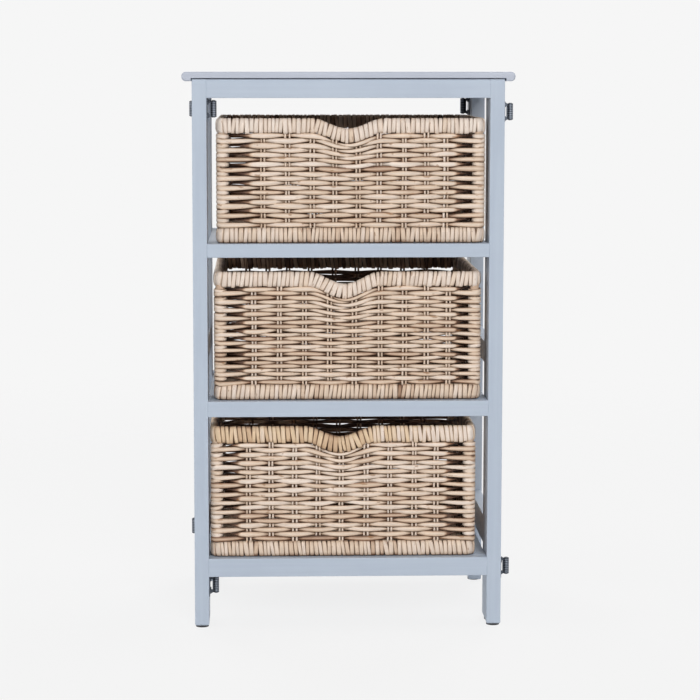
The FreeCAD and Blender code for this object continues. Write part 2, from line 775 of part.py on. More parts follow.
def stake_places(level):
    """Each pair of stakes: its wall's turn, its number along the wall, and its place on the wall's outer face."""
    shift = f"{level}_basket_shift"
    for turn, across in ((0, 1), (180, -1)):
        y_place = f"basket_y - {across} * (basket_depth / 2 - wall_inset)"
        for number, share in enumerate(FRONT_STAKE_SHARES[level]):
            yield turn, number, (f"{shift} + {across * share} * basket_width", y_place)
        x_place = f"{shift} + {across} * (basket_width / 2 - wall_inset)"
        for number, share in enumerate(SIDE_STAKE_SHARES):
            yield turn + 90, number, (x_place, f"basket_y + {across * share} * basket_depth")


def weave_wall(name, wall, level):
    """Give a basket's wall the relief of its weaving: each row dips behind every second pair of stakes."""
    front_shares = FRONT_STAKE_SHARES[level]
    front_spacing = (front_shares[-1] - front_shares[0]) / (len(front_shares) - 1)
    side_spacing = (SIDE_STAKE_SHARES[-1] - SIDE_STAKE_SHARES[0]) / (len(SIDE_STAKE_SHARES) - 1)
    height = f"{level}_basket_height - basket_rim_height - basket_foot_height - weave_top_gap"
    columns = (
        make_dips(f"{name}_long", ROWS[level], height, f"{front_spacing} * (basket_width)"),
        make_dips(f"{name}_short", ROWS[level], height, f"{side_spacing} * (basket_depth)"),
    )
    low = f"{level}_shelf_top + basket_foot_height"
    dips = ([], [])
    for turn, number, place in stake_places(level):
        column = columns[turn // 90 % 2][number % 2]
        label = f"{name}_{turn}_stake_{number}"
        dips[number % 2].append(copy_of(label, column, (*place, low), FreeCAD.Rotation(Z_AXIS, turn)))
    even = cut(f"{name}_even_rows", wall, gathered(f"{name}_even_dips", dips[0]))
    return cut(name, even, gathered(f"{name}_odd_dips", dips[1]))


def make_slits(name, level, rim_low):
    """The slits between the top row of weaving and the rim, which the stakes and the corner posts cross."""
    shift = f"{name}_shift"
    low = f"{rim_low} - weave_top_gap"
    band = block(
        f"{name}_slit_band", ("basket_width", "basket_depth", "weave_top_gap"), (shift, "basket_y"), low
    )
    dipped = make_scoop(f"{name}_slit_scoop", shift, low)
    height = "scoop_depth + weave_top_gap + 2 * overrun"
    foot = f"{low} - scoop_depth - overrun"
    across_wall = "2 * basket_rim_thickness"
    sizes = (("stake_pair_width", across_wall, height), (across_wall, "stake_pair_width", height))
    kept = [
        block(f"{name}_slit_{turn}_stake_{number}", sizes[turn // 90 % 2], place, foot)
        for turn, number, place in stake_places(level)
    ]
    for end, toward in ENDS:
        for side, across in SIDES:
            middle = (
                f"{shift} + {across} * (basket_width - corner_post_width) / 2",
                f"basket_y + {toward} * (basket_depth - corner_post_width) / 2",
            )
            size = ("corner_post_width", "corner_post_width", height)
            kept.append(block(f"{name}_slit_{side}_{end}_post", size, middle, foot))
    return cut(f"{name}_slits", joined(f"{name}_slit", [band, dipped]), gathered(f"{name}_slit_stakes", kept))


def make_basket(level):
    """A basket on its shelf: foot border, woven wall, rim that dips at the front, and base."""
    name = f"{level}_basket"
    shift = f"{name}_shift"
    floor = f"{level}_shelf_top"
    rim_low = f"{floor} + {name}_height - basket_rim_height"
    nodes[f"{name}_foot"] = make_ring(
        f"{name}_foot", "0", "basket_rim_thickness", shift, floor, "basket_foot_height"
    )
    low_scoop = make_scoop(f"{name}_low_scoop", shift, rim_low)
    high_scoop = make_scoop(f"{name}_high_scoop", shift, f"{rim_low} + basket_rim_height")
    wall = make_ring(
        f"{name}_wall_ring",
        "wall_inset",
        "basket_wall_thickness",
        shift,
        f"{floor} + basket_foot_height",
        f"{name}_height - basket_rim_height - basket_foot_height",
    )
    scooped = cut(f"{name}_wall_scooped", wall, low_scoop)
    slit = cut(f"{name}_wall_slit", scooped, make_slits(name, level, rim_low))
    nodes[f"{name}_wall"] = weave_wall(f"{name}_wall", slit, level)
    tall_rim = make_ring(
        f"{name}_rim_ring",
        "0",
        "basket_rim_thickness",
        shift,
        f"{rim_low} - scoop_depth",
        "basket_rim_height + scoop_depth",
    )
    below = block(
        f"{name}_below_rim",
        ("basket_width + 2 * overrun", "basket_depth + 2 * overrun", "scoop_depth + overrun"),
        (shift, "basket_y"),
        f"{rim_low} - scoop_depth - overrun",
    )
    level_rim = cut(f"{name}_level_rim", tall_rim, cut(f"{name}_below_scoop", below, low_scoop))
    nodes[f"{name}_rim"] = cut(f"{name}_rim", level_rim, high_scoop)
    inside = "2 * (basket_rim_thickness + basket_base_clearance)"
    nodes[f"{name}_base"] = block(
        f"{name}_base",
        (f"basket_width - {inside}", f"basket_depth - {inside}", "basket_base_thickness"),
        (shift, "basket_y"),
        f"{floor} + basket_base_lift",
    )


def drill_boards():
    """Drill each board with its own holes."""
    for label, piece in boards.items():
        if cutters[label]:
            nodes[label] = cut(f"{label}_drilled", piece, gathered(f"{label}_holes", cutters[label]))
        else:
            nodes[label] = piece


def write_parts():
    """Check every object, then write each node under its label."""
    document.recompute()
    failed = [
        item.Name for item in document.Objects if {"Invalid", "Error"} & set(item.State) or not item.isValid()
    ]
    if failed:
        raise RuntimeError(f"not rebuilt: {failed}")
    for label, piece in nodes.items():
        piece.Label = label
        if piece.Shape.isNull() or not piece.Shape.isValid() or not piece.Shape.Solids:
            raise RuntimeError(f"no sound solid: {label}")
    os.makedirs("parts", exist_ok=True)
    for label, piece in nodes.items():
        piece.Shape.exportStep(f"parts/{label}.step")
        box = piece.Shape.BoundBox
        corners = [round(value, 2) for value in (box.XMin, box.YMin, box.ZMin, box.XMax, box.YMax, box.ZMax)]
        print(f"{label}: {len(piece.Shape.Solids)} solids, {piece.Shape.Volume:.0f} mm3, {corners}")


make_tabletop()
make_uprights()
make_rails()
make_side_rails()
make_shelves()
make_top_pins()
make_glides()
make_hinges()
for basket_level in LEVELS:
    make_basket(basket_level)
drill_boards()
write_parts()
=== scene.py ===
"""Looks of a storage chest with three pull-out baskets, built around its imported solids.

The wooden frame, shelves, tabletop and hinges keep their solids and get painted or metal finishes, and the hinges
get thin washers. The baskets' plain solids are replaced by woven ones: rows of weavers that pass in front of one
pair of stakes and behind the next, wrapped corner posts, and wrapped borders at the rim and the foot. Lengths are
in metres.
"""

import logging
import math
from dataclasses import dataclass, field
from enum import Enum
from functools import partial

import bpy
import numpy as np
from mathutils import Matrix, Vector


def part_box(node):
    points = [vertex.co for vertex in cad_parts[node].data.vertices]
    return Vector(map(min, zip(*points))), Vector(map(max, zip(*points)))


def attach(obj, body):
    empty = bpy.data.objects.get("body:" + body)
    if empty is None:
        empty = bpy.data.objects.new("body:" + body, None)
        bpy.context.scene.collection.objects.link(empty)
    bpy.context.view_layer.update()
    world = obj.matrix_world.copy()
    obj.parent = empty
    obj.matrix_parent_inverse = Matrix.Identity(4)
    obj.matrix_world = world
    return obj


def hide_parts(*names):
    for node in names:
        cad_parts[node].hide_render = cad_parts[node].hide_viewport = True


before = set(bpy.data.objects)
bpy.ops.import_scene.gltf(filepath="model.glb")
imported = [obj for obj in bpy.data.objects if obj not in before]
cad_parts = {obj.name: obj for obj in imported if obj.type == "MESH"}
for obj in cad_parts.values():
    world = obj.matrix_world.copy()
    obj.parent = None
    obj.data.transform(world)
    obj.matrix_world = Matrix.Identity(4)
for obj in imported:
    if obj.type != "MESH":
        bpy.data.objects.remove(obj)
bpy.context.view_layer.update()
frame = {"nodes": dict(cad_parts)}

logging.basicConfig(level=logging.INFO, format="%(message)s")
LOG = logging.getLogger("chest")
MM = 0.001
FULL_TURN = 2.0 * math.pi
QUARTER_TURN = math.pi / 2.0
TO_RIGHT, TO_REAR, UP = np.eye(3)

# Nearly all of a noise's values lie in this span.
NOISE_SPAN = (0.3, 0.7)
# The tones that a rattan finish can show, and those that are drawn for a whole strand.
TONE_SPAN = (0.02, 0.98)
STRAND_SPAN = (0.02, 0.9)

Colour = tuple[float, float, float, float]
Place = tuple[float, float, float]
Span = tuple[float, float]


def srgb(red: int, green: int, blue: int) -> Colour:
    """A linear colour from an 8-bit sRGB one, by the sRGB standard's curve.

    Args:
        red: red, 0 to 255.
        green: green, 0 to 255.
        blue: blue, 0 to 255.

    Returns:
        The linear colour with alpha 1.
    """
    parts = np.array([red, green, blue]) / 255.0
    linear = np.where(parts <= 0.04045, parts / 12.92, ((parts + 0.055) / 1.055) ** 2.4)
    return (*(float(part) for part in linear), 1.0)


class Level(Enum):
    """The three shelves that carry a basket."""

    UPPER = "upper"
    MIDDLE = "middle"
    BOTTOM = "bottom"


class Side(Enum):
    """The side of a corner post that a row of weaving passes on."""

    OUTSIDE = 1
    INSIDE = -1


class Corner(Enum):
    """A corner's name, and 1 where its hinges' barrels are at the right and rear of their leaves, or -1 where they
    are at the left and front."""

    FRONT_LEFT = ("front_left", 1)
    FRONT_RIGHT = ("front_right", 1)
    REAR_RIGHT = ("rear_right", -1)
    REAR_LEFT = ("rear_left", -1)


class Slot(Enum):
    """The record's material slots."""

    FRAME = "frame_paint"
    TABLETOP = "tabletop_paint"
    SHELF = "shelf_paint"
    HINGE = "hinge_steel"
    BEECH = "beech"
    GLIDE = "glide_plastic"
    WEAVE = "rattan_weave"
    BORDER = "rattan_border"


class Grain(Enum):
    """The axis that a board's wood grain runs along."""

    X = 0
    Y = 1
    Z = 2


# The turn that lays each axis along X, where the streaks of the grain are long.
GRAIN_TURNS = {
    Grain.X: (0.0, 0.0, 0.0),
    Grain.Y: (0.0, 0.0, -QUARTER_TURN),
    Grain.Z: (0.0, QUARTER_TURN, 0.0),
}


class NodeSheet:
    """A shader node tree with short calls to add its nodes and join them."""

    def __init__(self, tree: bpy.types.NodeTree) -> None:
        """Keeps the tree that the nodes go into."""
        self.tree = tree

    def add(self, kind: str, inputs: dict | None = None, **settings: object) -> bpy.types.Node:
        """Adds one node.

        Args:
            kind: the node's type without its ShaderNode prefix.
            inputs: a value, or an output to join, for each named or numbered input.
            settings: the node's own properties.

        Returns:
            The new node.
        """
        node = self.tree.nodes.new("ShaderNode" + kind)
        for name, value in settings.items():
            setattr(node, name, value)
        for name, value in (inputs or {}).items():
            self.give(node.inputs[name], value)
        return node

    def give(self, socket: bpy.types.NodeSocket, value: object) -> None:
        """Joins an output to a socket, or sets the socket's own value.

        Args:
            socket: the input.
            value: the output or the value.
        """
        if isinstance(value, bpy.types.NodeSocket):
            self.tree.links.new(value, socket)
        else:
            socket.default_value = value

    def place(self, group: bpy.types.NodeTree, inputs: dict) -> bpy.types.NodeOutputs:
        """The outputs of a shared group that is placed with a value or an output for each of its inputs."""
        return self.add("Group", inputs, node_tree=group).outputs

    def object_place(self) -> bpy.types.NodeSocket:
        """The place on the piece, which is also its place in the chest."""
        return self.add("TexCoord").outputs["Object"]

    def math(self, operation: str, first: object, second: object) -> bpy.types.NodeSocket:
        """The result of one sum on two values."""
        return self.add("Math", {0: first, 1: second}, operation=operation).outputs[0]

    def noise(self, vector: object, scale: object, detail: float, roughness: float = 0.5) -> bpy.types.NodeSocket:
        """A noise between 0 and 1."""
        inputs = {"Vector": vector, "Scale": scale, "Detail": detail, "Roughness": roughness}
        return self.add("TexNoise", inputs).outputs["Fac"]

    def span(self, value: object, start: tuple[object, object], end: Span = (0.0, 1.0)) -> bpy.types.NodeSocket:
        """A value taken smoothly from one span to another.

        Args:
            value: the value to take over.
            start: the two ends of its span.
            end: what the two ends become.

        Returns:
            The output with the new value.
        """
        inputs = dict(enumerate((value, *start, *end)))
        return self.add("MapRange", inputs, interpolation_type="SMOOTHSTEP").outputs[0]

    def mix(self, share: object, first: object, second: object, way: str = "MIX") -> bpy.types.NodeSocket:
        """A blend of two colours.

        Args:
            share: how much of the second colour there is.
            first: the first colour.
            second: the second colour.
            way: how the second is laid over the first.

        Returns:
            The blended colour's output.
        """
        # The node's inputs 6 and 7 and its output 2 are its colour sockets.
        return self.add("Mix", {0: share, 6: first, 7: second}, data_type="RGBA", blend_type=way).outputs[2]

    def dress(self, shader: bpy.types.Node, colour: object, dull: object, height: object, bump: Span) -> None:
        """Joins a finish to a shader's colour, roughness and normal.

        Args:
            shader: the Principled shader.
            colour: the colour's output.
            dull: the roughness's output.
            height: the output of the surface's fine height.
            bump: the bump's strength and its depth.
        """
        strength, depth = bump
        relief = self.add("Bump", {"Strength": strength, "Distance": depth, "Height": height})
        for name, value in (("Base Color", colour), ("Roughness", dull), ("Normal", relief.outputs[0])):
            self.give(shader.inputs[name], value)


class SharedGroups:
    """The shader node groups that several finishes use, each built once.

    An edge starts to be rubbed where the cosine of its turn is EDGE_TURN's first value, and is fully rubbed at
    the second.
    """

    FINE_DETAIL = 4.0
    SOFT_DETAIL = 3.0
    RIPPLE_DETAIL = 2.0
    FIBRE_ROUGHNESS = 0.6
    BEVEL_SAMPLES = 4
    EDGE_TURN = (0.97, 0.78)
    RUB_SOFTNESS = 0.12

    def __init__(self) -> None:
        """Builds the groups."""
        self.fibre = self.make_fibre()
        self.stain = self.make_stain()
        self.film = self.make_film()
        self.edge = self.make_edge()

    @staticmethod
    def start(name: str, inputs: dict[str, str], outputs: list[str]) -> tuple[NodeSheet, dict, bpy.types.Node]:
        """Begins a group.

        Args:
            name: the group's name.
            inputs: each input's name and socket type.
            outputs: the names of its value outputs.

        Returns:
            The group's sheet, its inputs by name, and its output node.
        """
        tree = bpy.data.node_groups.new(name, "ShaderNodeTree")
        for label, kind in inputs.items():
            tree.interface.new_socket(name=label, in_out="INPUT", socket_type="NodeSocket" + kind)
        for label in outputs:
            tree.interface.new_socket(name=label, in_out="OUTPUT", socket_type="NodeSocketFloat")
        entry = tree.nodes.new("NodeGroupInput")
        leave = tree.nodes.new("NodeGroupOutput")
        return NodeSheet(tree), {label: entry.outputs[label] for label in inputs}, leave

    def make_fibre(self) -> bpy.types.NodeTree:
        """Streaks that are long one way and fine the other: noise on coordinates scaled by Along and Across.

        Returns:
            The group.
        """
        sheet, given, leave = self.start(
            "fibre_streaks", {"Vector": "Vector", "Along": "Float", "Across": "Float"}, ["Streak"]
        )
        scale = sheet.add("CombineXYZ", {0: given["Along"], 1: given["Across"], 2: given["Across"]})
        place = sheet.add("VectorMath", {0: given["Vector"], 1: scale.outputs[0]}, operation="MULTIPLY")
        streak = sheet.noise(place.outputs[0], 1.0, self.FINE_DETAIL, self.FIBRE_ROUGHNESS)
        sheet.give(leave.inputs["Streak"], streak)
        return sheet.tree

    def make_stain(self) -> bpy.types.NodeTree:
        """Spots where a noise is above Level, with an edge as wide as Softness.

        Returns:
            The group.
        """
        sheet, given, leave = self.start(
            "stain_spots", {"Vector": "Vector", "Scale": "Float", "Level": "Float", "Softness": "Float"}, ["Mask"]
        )
        noise = sheet.noise(given["Vector"], given["Scale"], self.SOFT_DETAIL)
        top = sheet.math("ADD", given["Level"], given["Softness"])
        sheet.give(leave.inputs["Mask"], sheet.span(noise, (given["Level"], top)))
        return sheet.tree

    def make_film(self) -> bpy.types.NodeTree:
        """A rolled paint film: fine ripples as Height and slow unevenness as Cloud.

        Returns:
            The group.
        """
        sheet, given, leave = self.start(
            "paint_film", {"Vector": "Vector", "Ripple": "Float", "Patch": "Float"}, ["Height", "Cloud"]
        )
        sheet.give(leave.inputs["Height"], sheet.noise(given["Vector"], given["Ripple"], self.RIPPLE_DETAIL))
        sheet.give(leave.inputs["Cloud"], sheet.noise(given["Vector"], given["Patch"], self.SOFT_DETAIL))
        return sheet.tree

    def make_edge(self) -> bpy.types.NodeTree:
        """Rubbed edges: where the normal turns within Radius, broken up by a noise of the given Scale.

        Returns:
            The group.
        """
        sheet, given, leave = self.start(
            "rubbed_edges", {"Vector": "Vector", "Radius": "Float", "Scale": "Float", "Level": "Float"}, ["Mask"]
        )
        bevel = sheet.add("Bevel", {"Radius": given["Radius"]}, samples=self.BEVEL_SAMPLES)
        flat = sheet.add("NewGeometry")
        turn = sheet.add("VectorMath", {0: bevel.outputs[0], 1: flat.outputs["Normal"]}, operation="DOT_PRODUCT")
        corner = sheet.span(turn.outputs["Value"], self.EDGE_TURN)
        noise = sheet.noise(given["Vector"], given["Scale"], self.FINE_DETAIL)
        top = sheet.math("ADD", given["Level"], self.RUB_SOFTNESS)
        patch = sheet.span(noise, (given["Level"], top))
        sheet.give(leave.inputs["Mask"], sheet.math("MULTIPLY", corner, patch))
        return sheet.tree


def clear_sheet(owner: bpy.types.Material | bpy.types.World) -> NodeSheet:
    """The emptied node sheet of a material or a world."""
    owner.use_nodes = True
    owner.node_tree.nodes.clear()
    return NodeSheet(owner.node_tree)


def new_material(name: str) -> tuple[bpy.types.Material, NodeSheet, bpy.types.Node]:
    """An empty material with one Principled shader on its surface.

    Args:
        name: the material's name.

    Returns:
        The material, its sheet and its shader.
    """
    material = bpy.data.materials.new(name)
    sheet = clear_sheet(material)
    shader = sheet.add("BsdfPrincipled")
    sheet.add("OutputMaterial", {"Surface": shader.outputs["BSDF"]})
    return material, sheet, shader


@dataclass(frozen=True)
class PaintFinish:
    """Satin paint rolled on wood: the grain shows faintly and edges are a little rubbed."""

    name: str
    colour: Colour
    shade: Colour
    rubbed: Colour
    shade_span: Span = (0.7, 1.35)
    grain_along: float = 5.0
    grain_across: float = 190.0
    grain_height: float = 0.8
    ripple: float = 700.0
    patch: float = 9.0
    edge_radius: float = 1.6 * MM
    edge_scale: float = 60.0
    edge_level: float = 0.52
    edge_share: float = 0.55
    dullness: Span = (0.37, 0.5)
    bump: Span = (0.16, 0.4 * MM)
    gloss: float = 0.42

    def material(self, groups: SharedGroups, grain: Grain) -> bpy.types.Material:
        """Makes the paint for boards whose grain runs along one axis.

        Args:
            groups: the shared node groups.
            grain: the axis of the boards' grain.

        Returns:
            The material.
        """
        material, sheet, shader = new_material(f"{self.name}_{grain.name.lower()}")
        place = sheet.object_place()
        along = sheet.add("Mapping", {"Vector": place, "Rotation": GRAIN_TURNS[grain]}).outputs[0]
        streaks = {"Vector": along, "Along": self.grain_along, "Across": self.grain_across}
        fibre = sheet.place(groups.fibre, streaks)["Streak"]
        film = sheet.place(groups.film, {"Vector": place, "Ripple": self.ripple, "Patch": self.patch})
        edge = {"Vector": place, "Radius": self.edge_radius, "Scale": self.edge_scale, "Level": self.edge_level}
        worn = sheet.math("MULTIPLY", sheet.place(groups.edge, edge)["Mask"], self.edge_share)
        share = sheet.span(sheet.math("ADD", film["Cloud"], fibre), self.shade_span)
        colour = sheet.mix(worn, sheet.mix(share, self.colour, self.shade), self.rubbed)
        dull = sheet.span(film["Cloud"], NOISE_SPAN, self.dullness)
        height = sheet.math("ADD", film["Height"], sheet.math("MULTIPLY", fibre, self.grain_height))
        sheet.dress(shader, colour, dull, height, self.bump)
        shader.inputs["Specular IOR Level"].default_value = self.gloss
        return material


@dataclass(frozen=True)
class SteelFinish:
    """Zinc-plated steel, dark unless other colours are given, blotchy and a little bright on its edges."""

    name: str = "dark_zinc"
    colour: Colour = srgb(66, 71, 80)
    bright: Colour = srgb(134, 141, 151)
    ripple: float = 1400.0
    patch: float = 120.0
    patch_share: float = 0.25
    edge_radius: float = 0.5 * MM
    edge_scale: float = 160.0
    edge_level: float = 0.4
    edge_share: float = 0.6
    dullness: Span = (0.34, 0.52)
    bump: Span = (0.12, 0.2 * MM)
    metallic: float = 0.75

    def material(self, groups: SharedGroups) -> bpy.types.Material:
        """Makes the steel.

        Args:
            groups: the shared node groups.

        Returns:
            The material.
        """
        material, sheet, shader = new_material(self.name)
        place = sheet.object_place()
        film = sheet.place(groups.film, {"Vector": place, "Ripple": self.ripple, "Patch": self.patch})
        edge = {"Vector": place, "Radius": self.edge_radius, "Scale": self.edge_scale, "Level": self.edge_level}
        worn = sheet.math("MULTIPLY", sheet.place(groups.edge, edge)["Mask"], self.edge_share)
        share = sheet.math("MULTIPLY", film["Cloud"], self.patch_share)
        colour = sheet.mix(worn, sheet.mix(share, self.colour, self.bright), self.bright)
        dull = sheet.span(film["Cloud"], NOISE_SPAN, self.dullness)
        sheet.dress(shader, colour, dull, film["Height"], self.bump)
        shader.inputs["Metallic"].default_value = self.metallic
        return material


@dataclass(frozen=True)
class BeechFinish:
    """Bare beech of dowels and pins, with fine grain."""

    name: str = "bare_beech"
    colour: Colour = srgb(205, 166, 120)
    shade: Colour = srgb(176, 132, 88)
    grain_along: float = 30.0
    grain_across: float = 600.0
    dullness: Span = (0.5, 0.66)
    bump: Span = (0.2, 0.3 * MM)

    def material(self, groups: SharedGroups) -> bpy.types.Material:
        """Makes the wood.

        Args:
            groups: the shared node groups.

        Returns:
            The material.
        """
        material, sheet, shader = new_material(self.name)
        streaks = {"Vector": sheet.object_place(), "Along": self.grain_along, "Across": self.grain_across}
        fibre = sheet.place(groups.fibre, streaks)["Streak"]
        dull = sheet.span(fibre, NOISE_SPAN, self.dullness)
        sheet.dress(shader, sheet.mix(fibre, self.colour, self.shade), dull, fibre, self.bump)
        return material


@dataclass(frozen=True)
class GlideFinish:
    """Matt dark plastic of the glides, finely grained and scuffed."""

    name: str = "glide_plastic_moulded"
    colour: Colour = srgb(40, 40, 43)
    scuffed: Colour = srgb(84, 84, 86)
    scuff_scale: float = 320.0
    scuff_level: float = 0.55
    scuff_softness: float = 0.1
    scuff_share: float = 0.5
    ripple: float = 2200.0
    patch: float = 200.0
    dullness: Span = (0.55, 0.75)
    bump: Span = (0.2, 0.2 * MM)

    def material(self, groups: SharedGroups) -> bpy.types.Material:
        """Makes the plastic.

        Args:
            groups: the shared node groups.

        Returns:
            The material.
        """
        material, sheet, shader = new_material(self.name)
        place = sheet.object_place()
        film = sheet.place(groups.film, {"Vector": place, "Ripple": self.ripple, "Patch": self.patch})
        scuffs = {"Vector": place, "Scale": self.scuff_scale, "Level": self.scuff_level}
        scuffs["Softness"] = self.scuff_softness
        share = sheet.math("MULTIPLY", sheet.place(groups.stain, scuffs)["Mask"], self.scuff_share)
        dull = sheet.span(film["Cloud"], NOISE_SPAN, self.dullness)
        sheet.dress(shader, sheet.mix(share, self.colour, self.scuffed), dull, film["Height"], self.bump)
        return material


@dataclass(frozen=True)
class RattanFinish:
    """Peeled rattan: each strand has its own tone, fine fibres run along it, and some spots are brown."""

    name: str
    tones: tuple[tuple[float, Colour], ...]
    spot: Colour = srgb(150, 104, 62)
    spot_scale: float = 62.0
    spot_level: float = 0.62
    spot_softness: float = 0.07
    spot_squeeze: float = 2.2
    spot_share: float = 0.6
    fibre_along: float = 55.0
    fibre_across: float = 2400.0
    fibre_share: float = 0.55
    cloud_along: float = 24.0
    cloud_across: float = 160.0
    cloud_span: Span = (0.25, 0.75)
    cloud_light: Span = (0.84, 1.06)
    dullness: Span = (0.44, 0.64)
    bump: Span = (0.35, 0.5 * MM)
    gloss: float = 0.35

    def tone_colour(self, sheet: NodeSheet) -> bpy.types.NodeSocket:
        """The colour of the strand's tone, from a ramp with a stop for each of the finish's tones.

        Args:
            sheet: the material's sheet.

        Returns:
            The colour's output.
        """
        tone = sheet.add("Attribute", attribute_name="tone").outputs["Fac"]
        ramp = sheet.add("ValToRGB", {"Fac": tone})
        stops = ramp.color_ramp.elements
        while len(stops) < len(self.tones):
            stops.new(0.5)
        for stop, (position, colour) in zip(stops, self.tones):
            stop.position = position
            stop.color = colour
        return ramp.outputs["Color"]

    def material(self, groups: SharedGroups) -> bpy.types.Material:
        """Makes the rattan from the strand's tone attribute and its UV map, which runs along the strand.

        Args:
            groups: the shared node groups.

        Returns:
            The material.
        """
        material, sheet, shader = new_material(self.name)
        strand = sheet.add("UVMap", uv_map="strand").outputs["UV"]
        fibre, cloud = (
            sheet.place(groups.fibre, {"Vector": strand, "Along": along, "Across": across})["Streak"]
            for along, across in ((self.fibre_along, self.fibre_across), (self.cloud_along, self.cloud_across))
        )
        grey = sheet.add("ValToRGB", {"Fac": fibre}).outputs["Color"]
        streaked = sheet.mix(self.fibre_share, self.tone_colour(sheet), grey, "SOFT_LIGHT")
        light = sheet.span(cloud, self.cloud_span, self.cloud_light)
        shade = sheet.add("CombineColor", dict.fromkeys(range(3), light)).outputs[0]
        squeezed = sheet.add("Mapping", {"Vector": strand, "Scale": (1.0, self.spot_squeeze, 1.0)}).outputs[0]
        spots = {"Vector": squeezed, "Scale": self.spot_scale, "Level": self.spot_level}
        spots["Softness"] = self.spot_softness
        spotted = sheet.math("MULTIPLY", sheet.place(groups.stain, spots)["Mask"], self.spot_share)
        colour = sheet.mix(spotted, sheet.mix(1.0, streaked, shade, "MULTIPLY"), self.spot)
        sheet.dress(shader, colour, sheet.span(fibre, NOISE_SPAN, self.dullness), fibre, self.bump)
        shader.inputs["Specular IOR Level"].default_value = self.gloss
        return material


@dataclass
class StrandBundle:
    """Many strands gathered as arrays before they become one mesh."""

    points: list[np.ndarray] = field(default_factory=list)
    faces: list[np.ndarray] = field(default_factory=list)
    places: list[np.ndarray] = field(default_factory=list)
    tones: list[np.ndarray] = field(default_factory=list)
    count: int = 0

    @staticmethod
    def caps(run: np.ndarray, length: int, sides: int) -> tuple[np.ndarray, np.ndarray]:
        """Closes both ends of open strands by strips of quads across their end rings.

        Args:
            run: distance along each strand.
            length: rings of a strand.
            sides: points round a ring.

        Returns:
            The quads, and the UV place of each of their corners.
        """
        step = np.arange(sides // 2 - 1)
        strip = np.stack([step, step + 1, sides - 2 - step, sides - 1 - step], axis=-1)
        first = np.arange(len(run))[:, None, None] * length * sides + strip[None]
        last = first[..., ::-1] + (length - 1) * sides
        ends = np.concatenate([np.repeat(run[:, :1], len(step), 1), np.repeat(run[:, -1:], len(step), 1)])
        places = np.zeros((ends.size, 4, 2))
        places[..., 0] = ends.reshape(-1, 1)
        return np.concatenate([first.reshape(-1, 4), last.reshape(-1, 4)]), places

    def add(self, rings: np.ndarray, closed: bool, run: np.ndarray, tone: np.ndarray | float) -> None:
        """Adds strands given as rings of points along their length.

        Each strand is a grid: one parameter goes along it, the other round its section. Neighbouring rings are
        joined by quads, an open strand's ends are closed, and the whole batch is turned inside out if the first
        strand's volume comes out negative.

        Args:
            rings: points as strand, ring, place round the section, coordinate.
            closed: whether each strand's last ring joins its first.
            run: distance along each strand, one more than the rings if closed.
            tone: tones that spread over strand, ring and place round the section.
        """
        strands, length, sides, _ = rings.shape
        around = np.linalg.norm(np.roll(rings[0, 0], -1, 0) - rings[0, 0], axis=1)
        girth = np.concatenate([[0.0], np.cumsum(around)])
        strand, ring, side = np.meshgrid(
            np.arange(strands), np.arange(length if closed else length - 1), np.arange(sides), indexing="ij"
        )
        here, ahead = ((strand * length + place) * sides for place in (ring, (ring + 1) % length))
        aside = (side + 1) % sides
        corners = np.stack([here + side, ahead + side, ahead + aside, here + aside], axis=-1)
        u = np.stack([run[strand, place] for place in (ring, ring + 1, ring + 1, ring)], axis=-1)
        v = np.stack([girth[place] for place in (side, side, side + 1, side + 1)], axis=-1)
        quads, places = corners.reshape(-1, 4), np.stack([u, v], axis=-1).reshape(-1, 4, 2)
        if not closed:
            caps, cap_places = self.caps(run, length, sides)
            quads, places = np.concatenate([quads, caps]), np.concatenate([places, cap_places])
        flat = rings.reshape(-1, 3)
        first = corners[0].reshape(-1, 4)
        a, b, c, d = (flat[first[:, corner]] - flat[0] for corner in range(4))
        volume = np.sum(a * np.cross(b, c)) + np.sum(a * np.cross(c, d))
        if volume < 0.0:
            quads, places = quads[:, ::-1], places[:, ::-1]
        self.points.append(flat)
        self.faces.append(quads + self.count)
        self.places.append(places.reshape(-1, 2))
        self.tones.append(np.clip(np.broadcast_to(tone, rings.shape[:3]), *TONE_SPAN).reshape(-1))
        self.count += len(flat)

    def build(self, name: str, material: bpy.types.Material) -> bpy.types.Object:
        """Puts the gathered strands into one smooth mesh object.

        Args:
            name: the piece's name.
            material: its finish.

        Returns:
            The object, linked to the scene at the origin.
        """
        points, faces = np.concatenate(self.points), np.concatenate(self.faces)
        mesh = bpy.data.meshes.new(name)
        mesh.vertices.add(len(points))
        mesh.vertices.foreach_set("co", points.astype(np.float32).ravel())
        mesh.loops.add(faces.size)
        mesh.loops.foreach_set("vertex_index", faces.astype(np.int32).ravel())
        mesh.polygons.add(len(faces))
        mesh.polygons.foreach_set("loop_start", np.arange(0, faces.size, 4, dtype=np.int32))
        mesh.polygons.foreach_set("use_smooth", np.ones(len(faces), bool))
        layer = mesh.uv_layers.new(name="strand")
        layer.uv.foreach_set("vector", np.concatenate(self.places).astype(np.float32).ravel())
        tone = mesh.attributes.new("tone", "FLOAT", "POINT")
        tone.data.foreach_set("value", np.concatenate(self.tones).astype(np.float32))
        mesh.update(calc_edges=True)
        mesh.materials.append(material)
        piece = bpy.data.objects.new(name, mesh)
        bpy.context.scene.collection.objects.link(piece)
        return piece


def raised(flat: np.ndarray, height: np.ndarray | float) -> np.ndarray:
    """Points or directions seen from above, given heights; the two spread over each other.

    Args:
        flat: X and Y as the last axis.
        height: Z, with no axis for the coordinate.

    Returns:
        X, Y and Z as the last axis.
    """
    height = np.asarray(height)[..., None]
    shape = np.broadcast_shapes(flat.shape[:-1], height.shape[:-1])
    return np.concatenate([np.broadcast_to(flat, (*shape, 2)), np.broadcast_to(height, (*shape, 1))], axis=-1)


def section_angles(sides: int) -> np.ndarray:
    """Even angles round a section, from its outer side."""
    return np.arange(sides) * FULL_TURN / sides


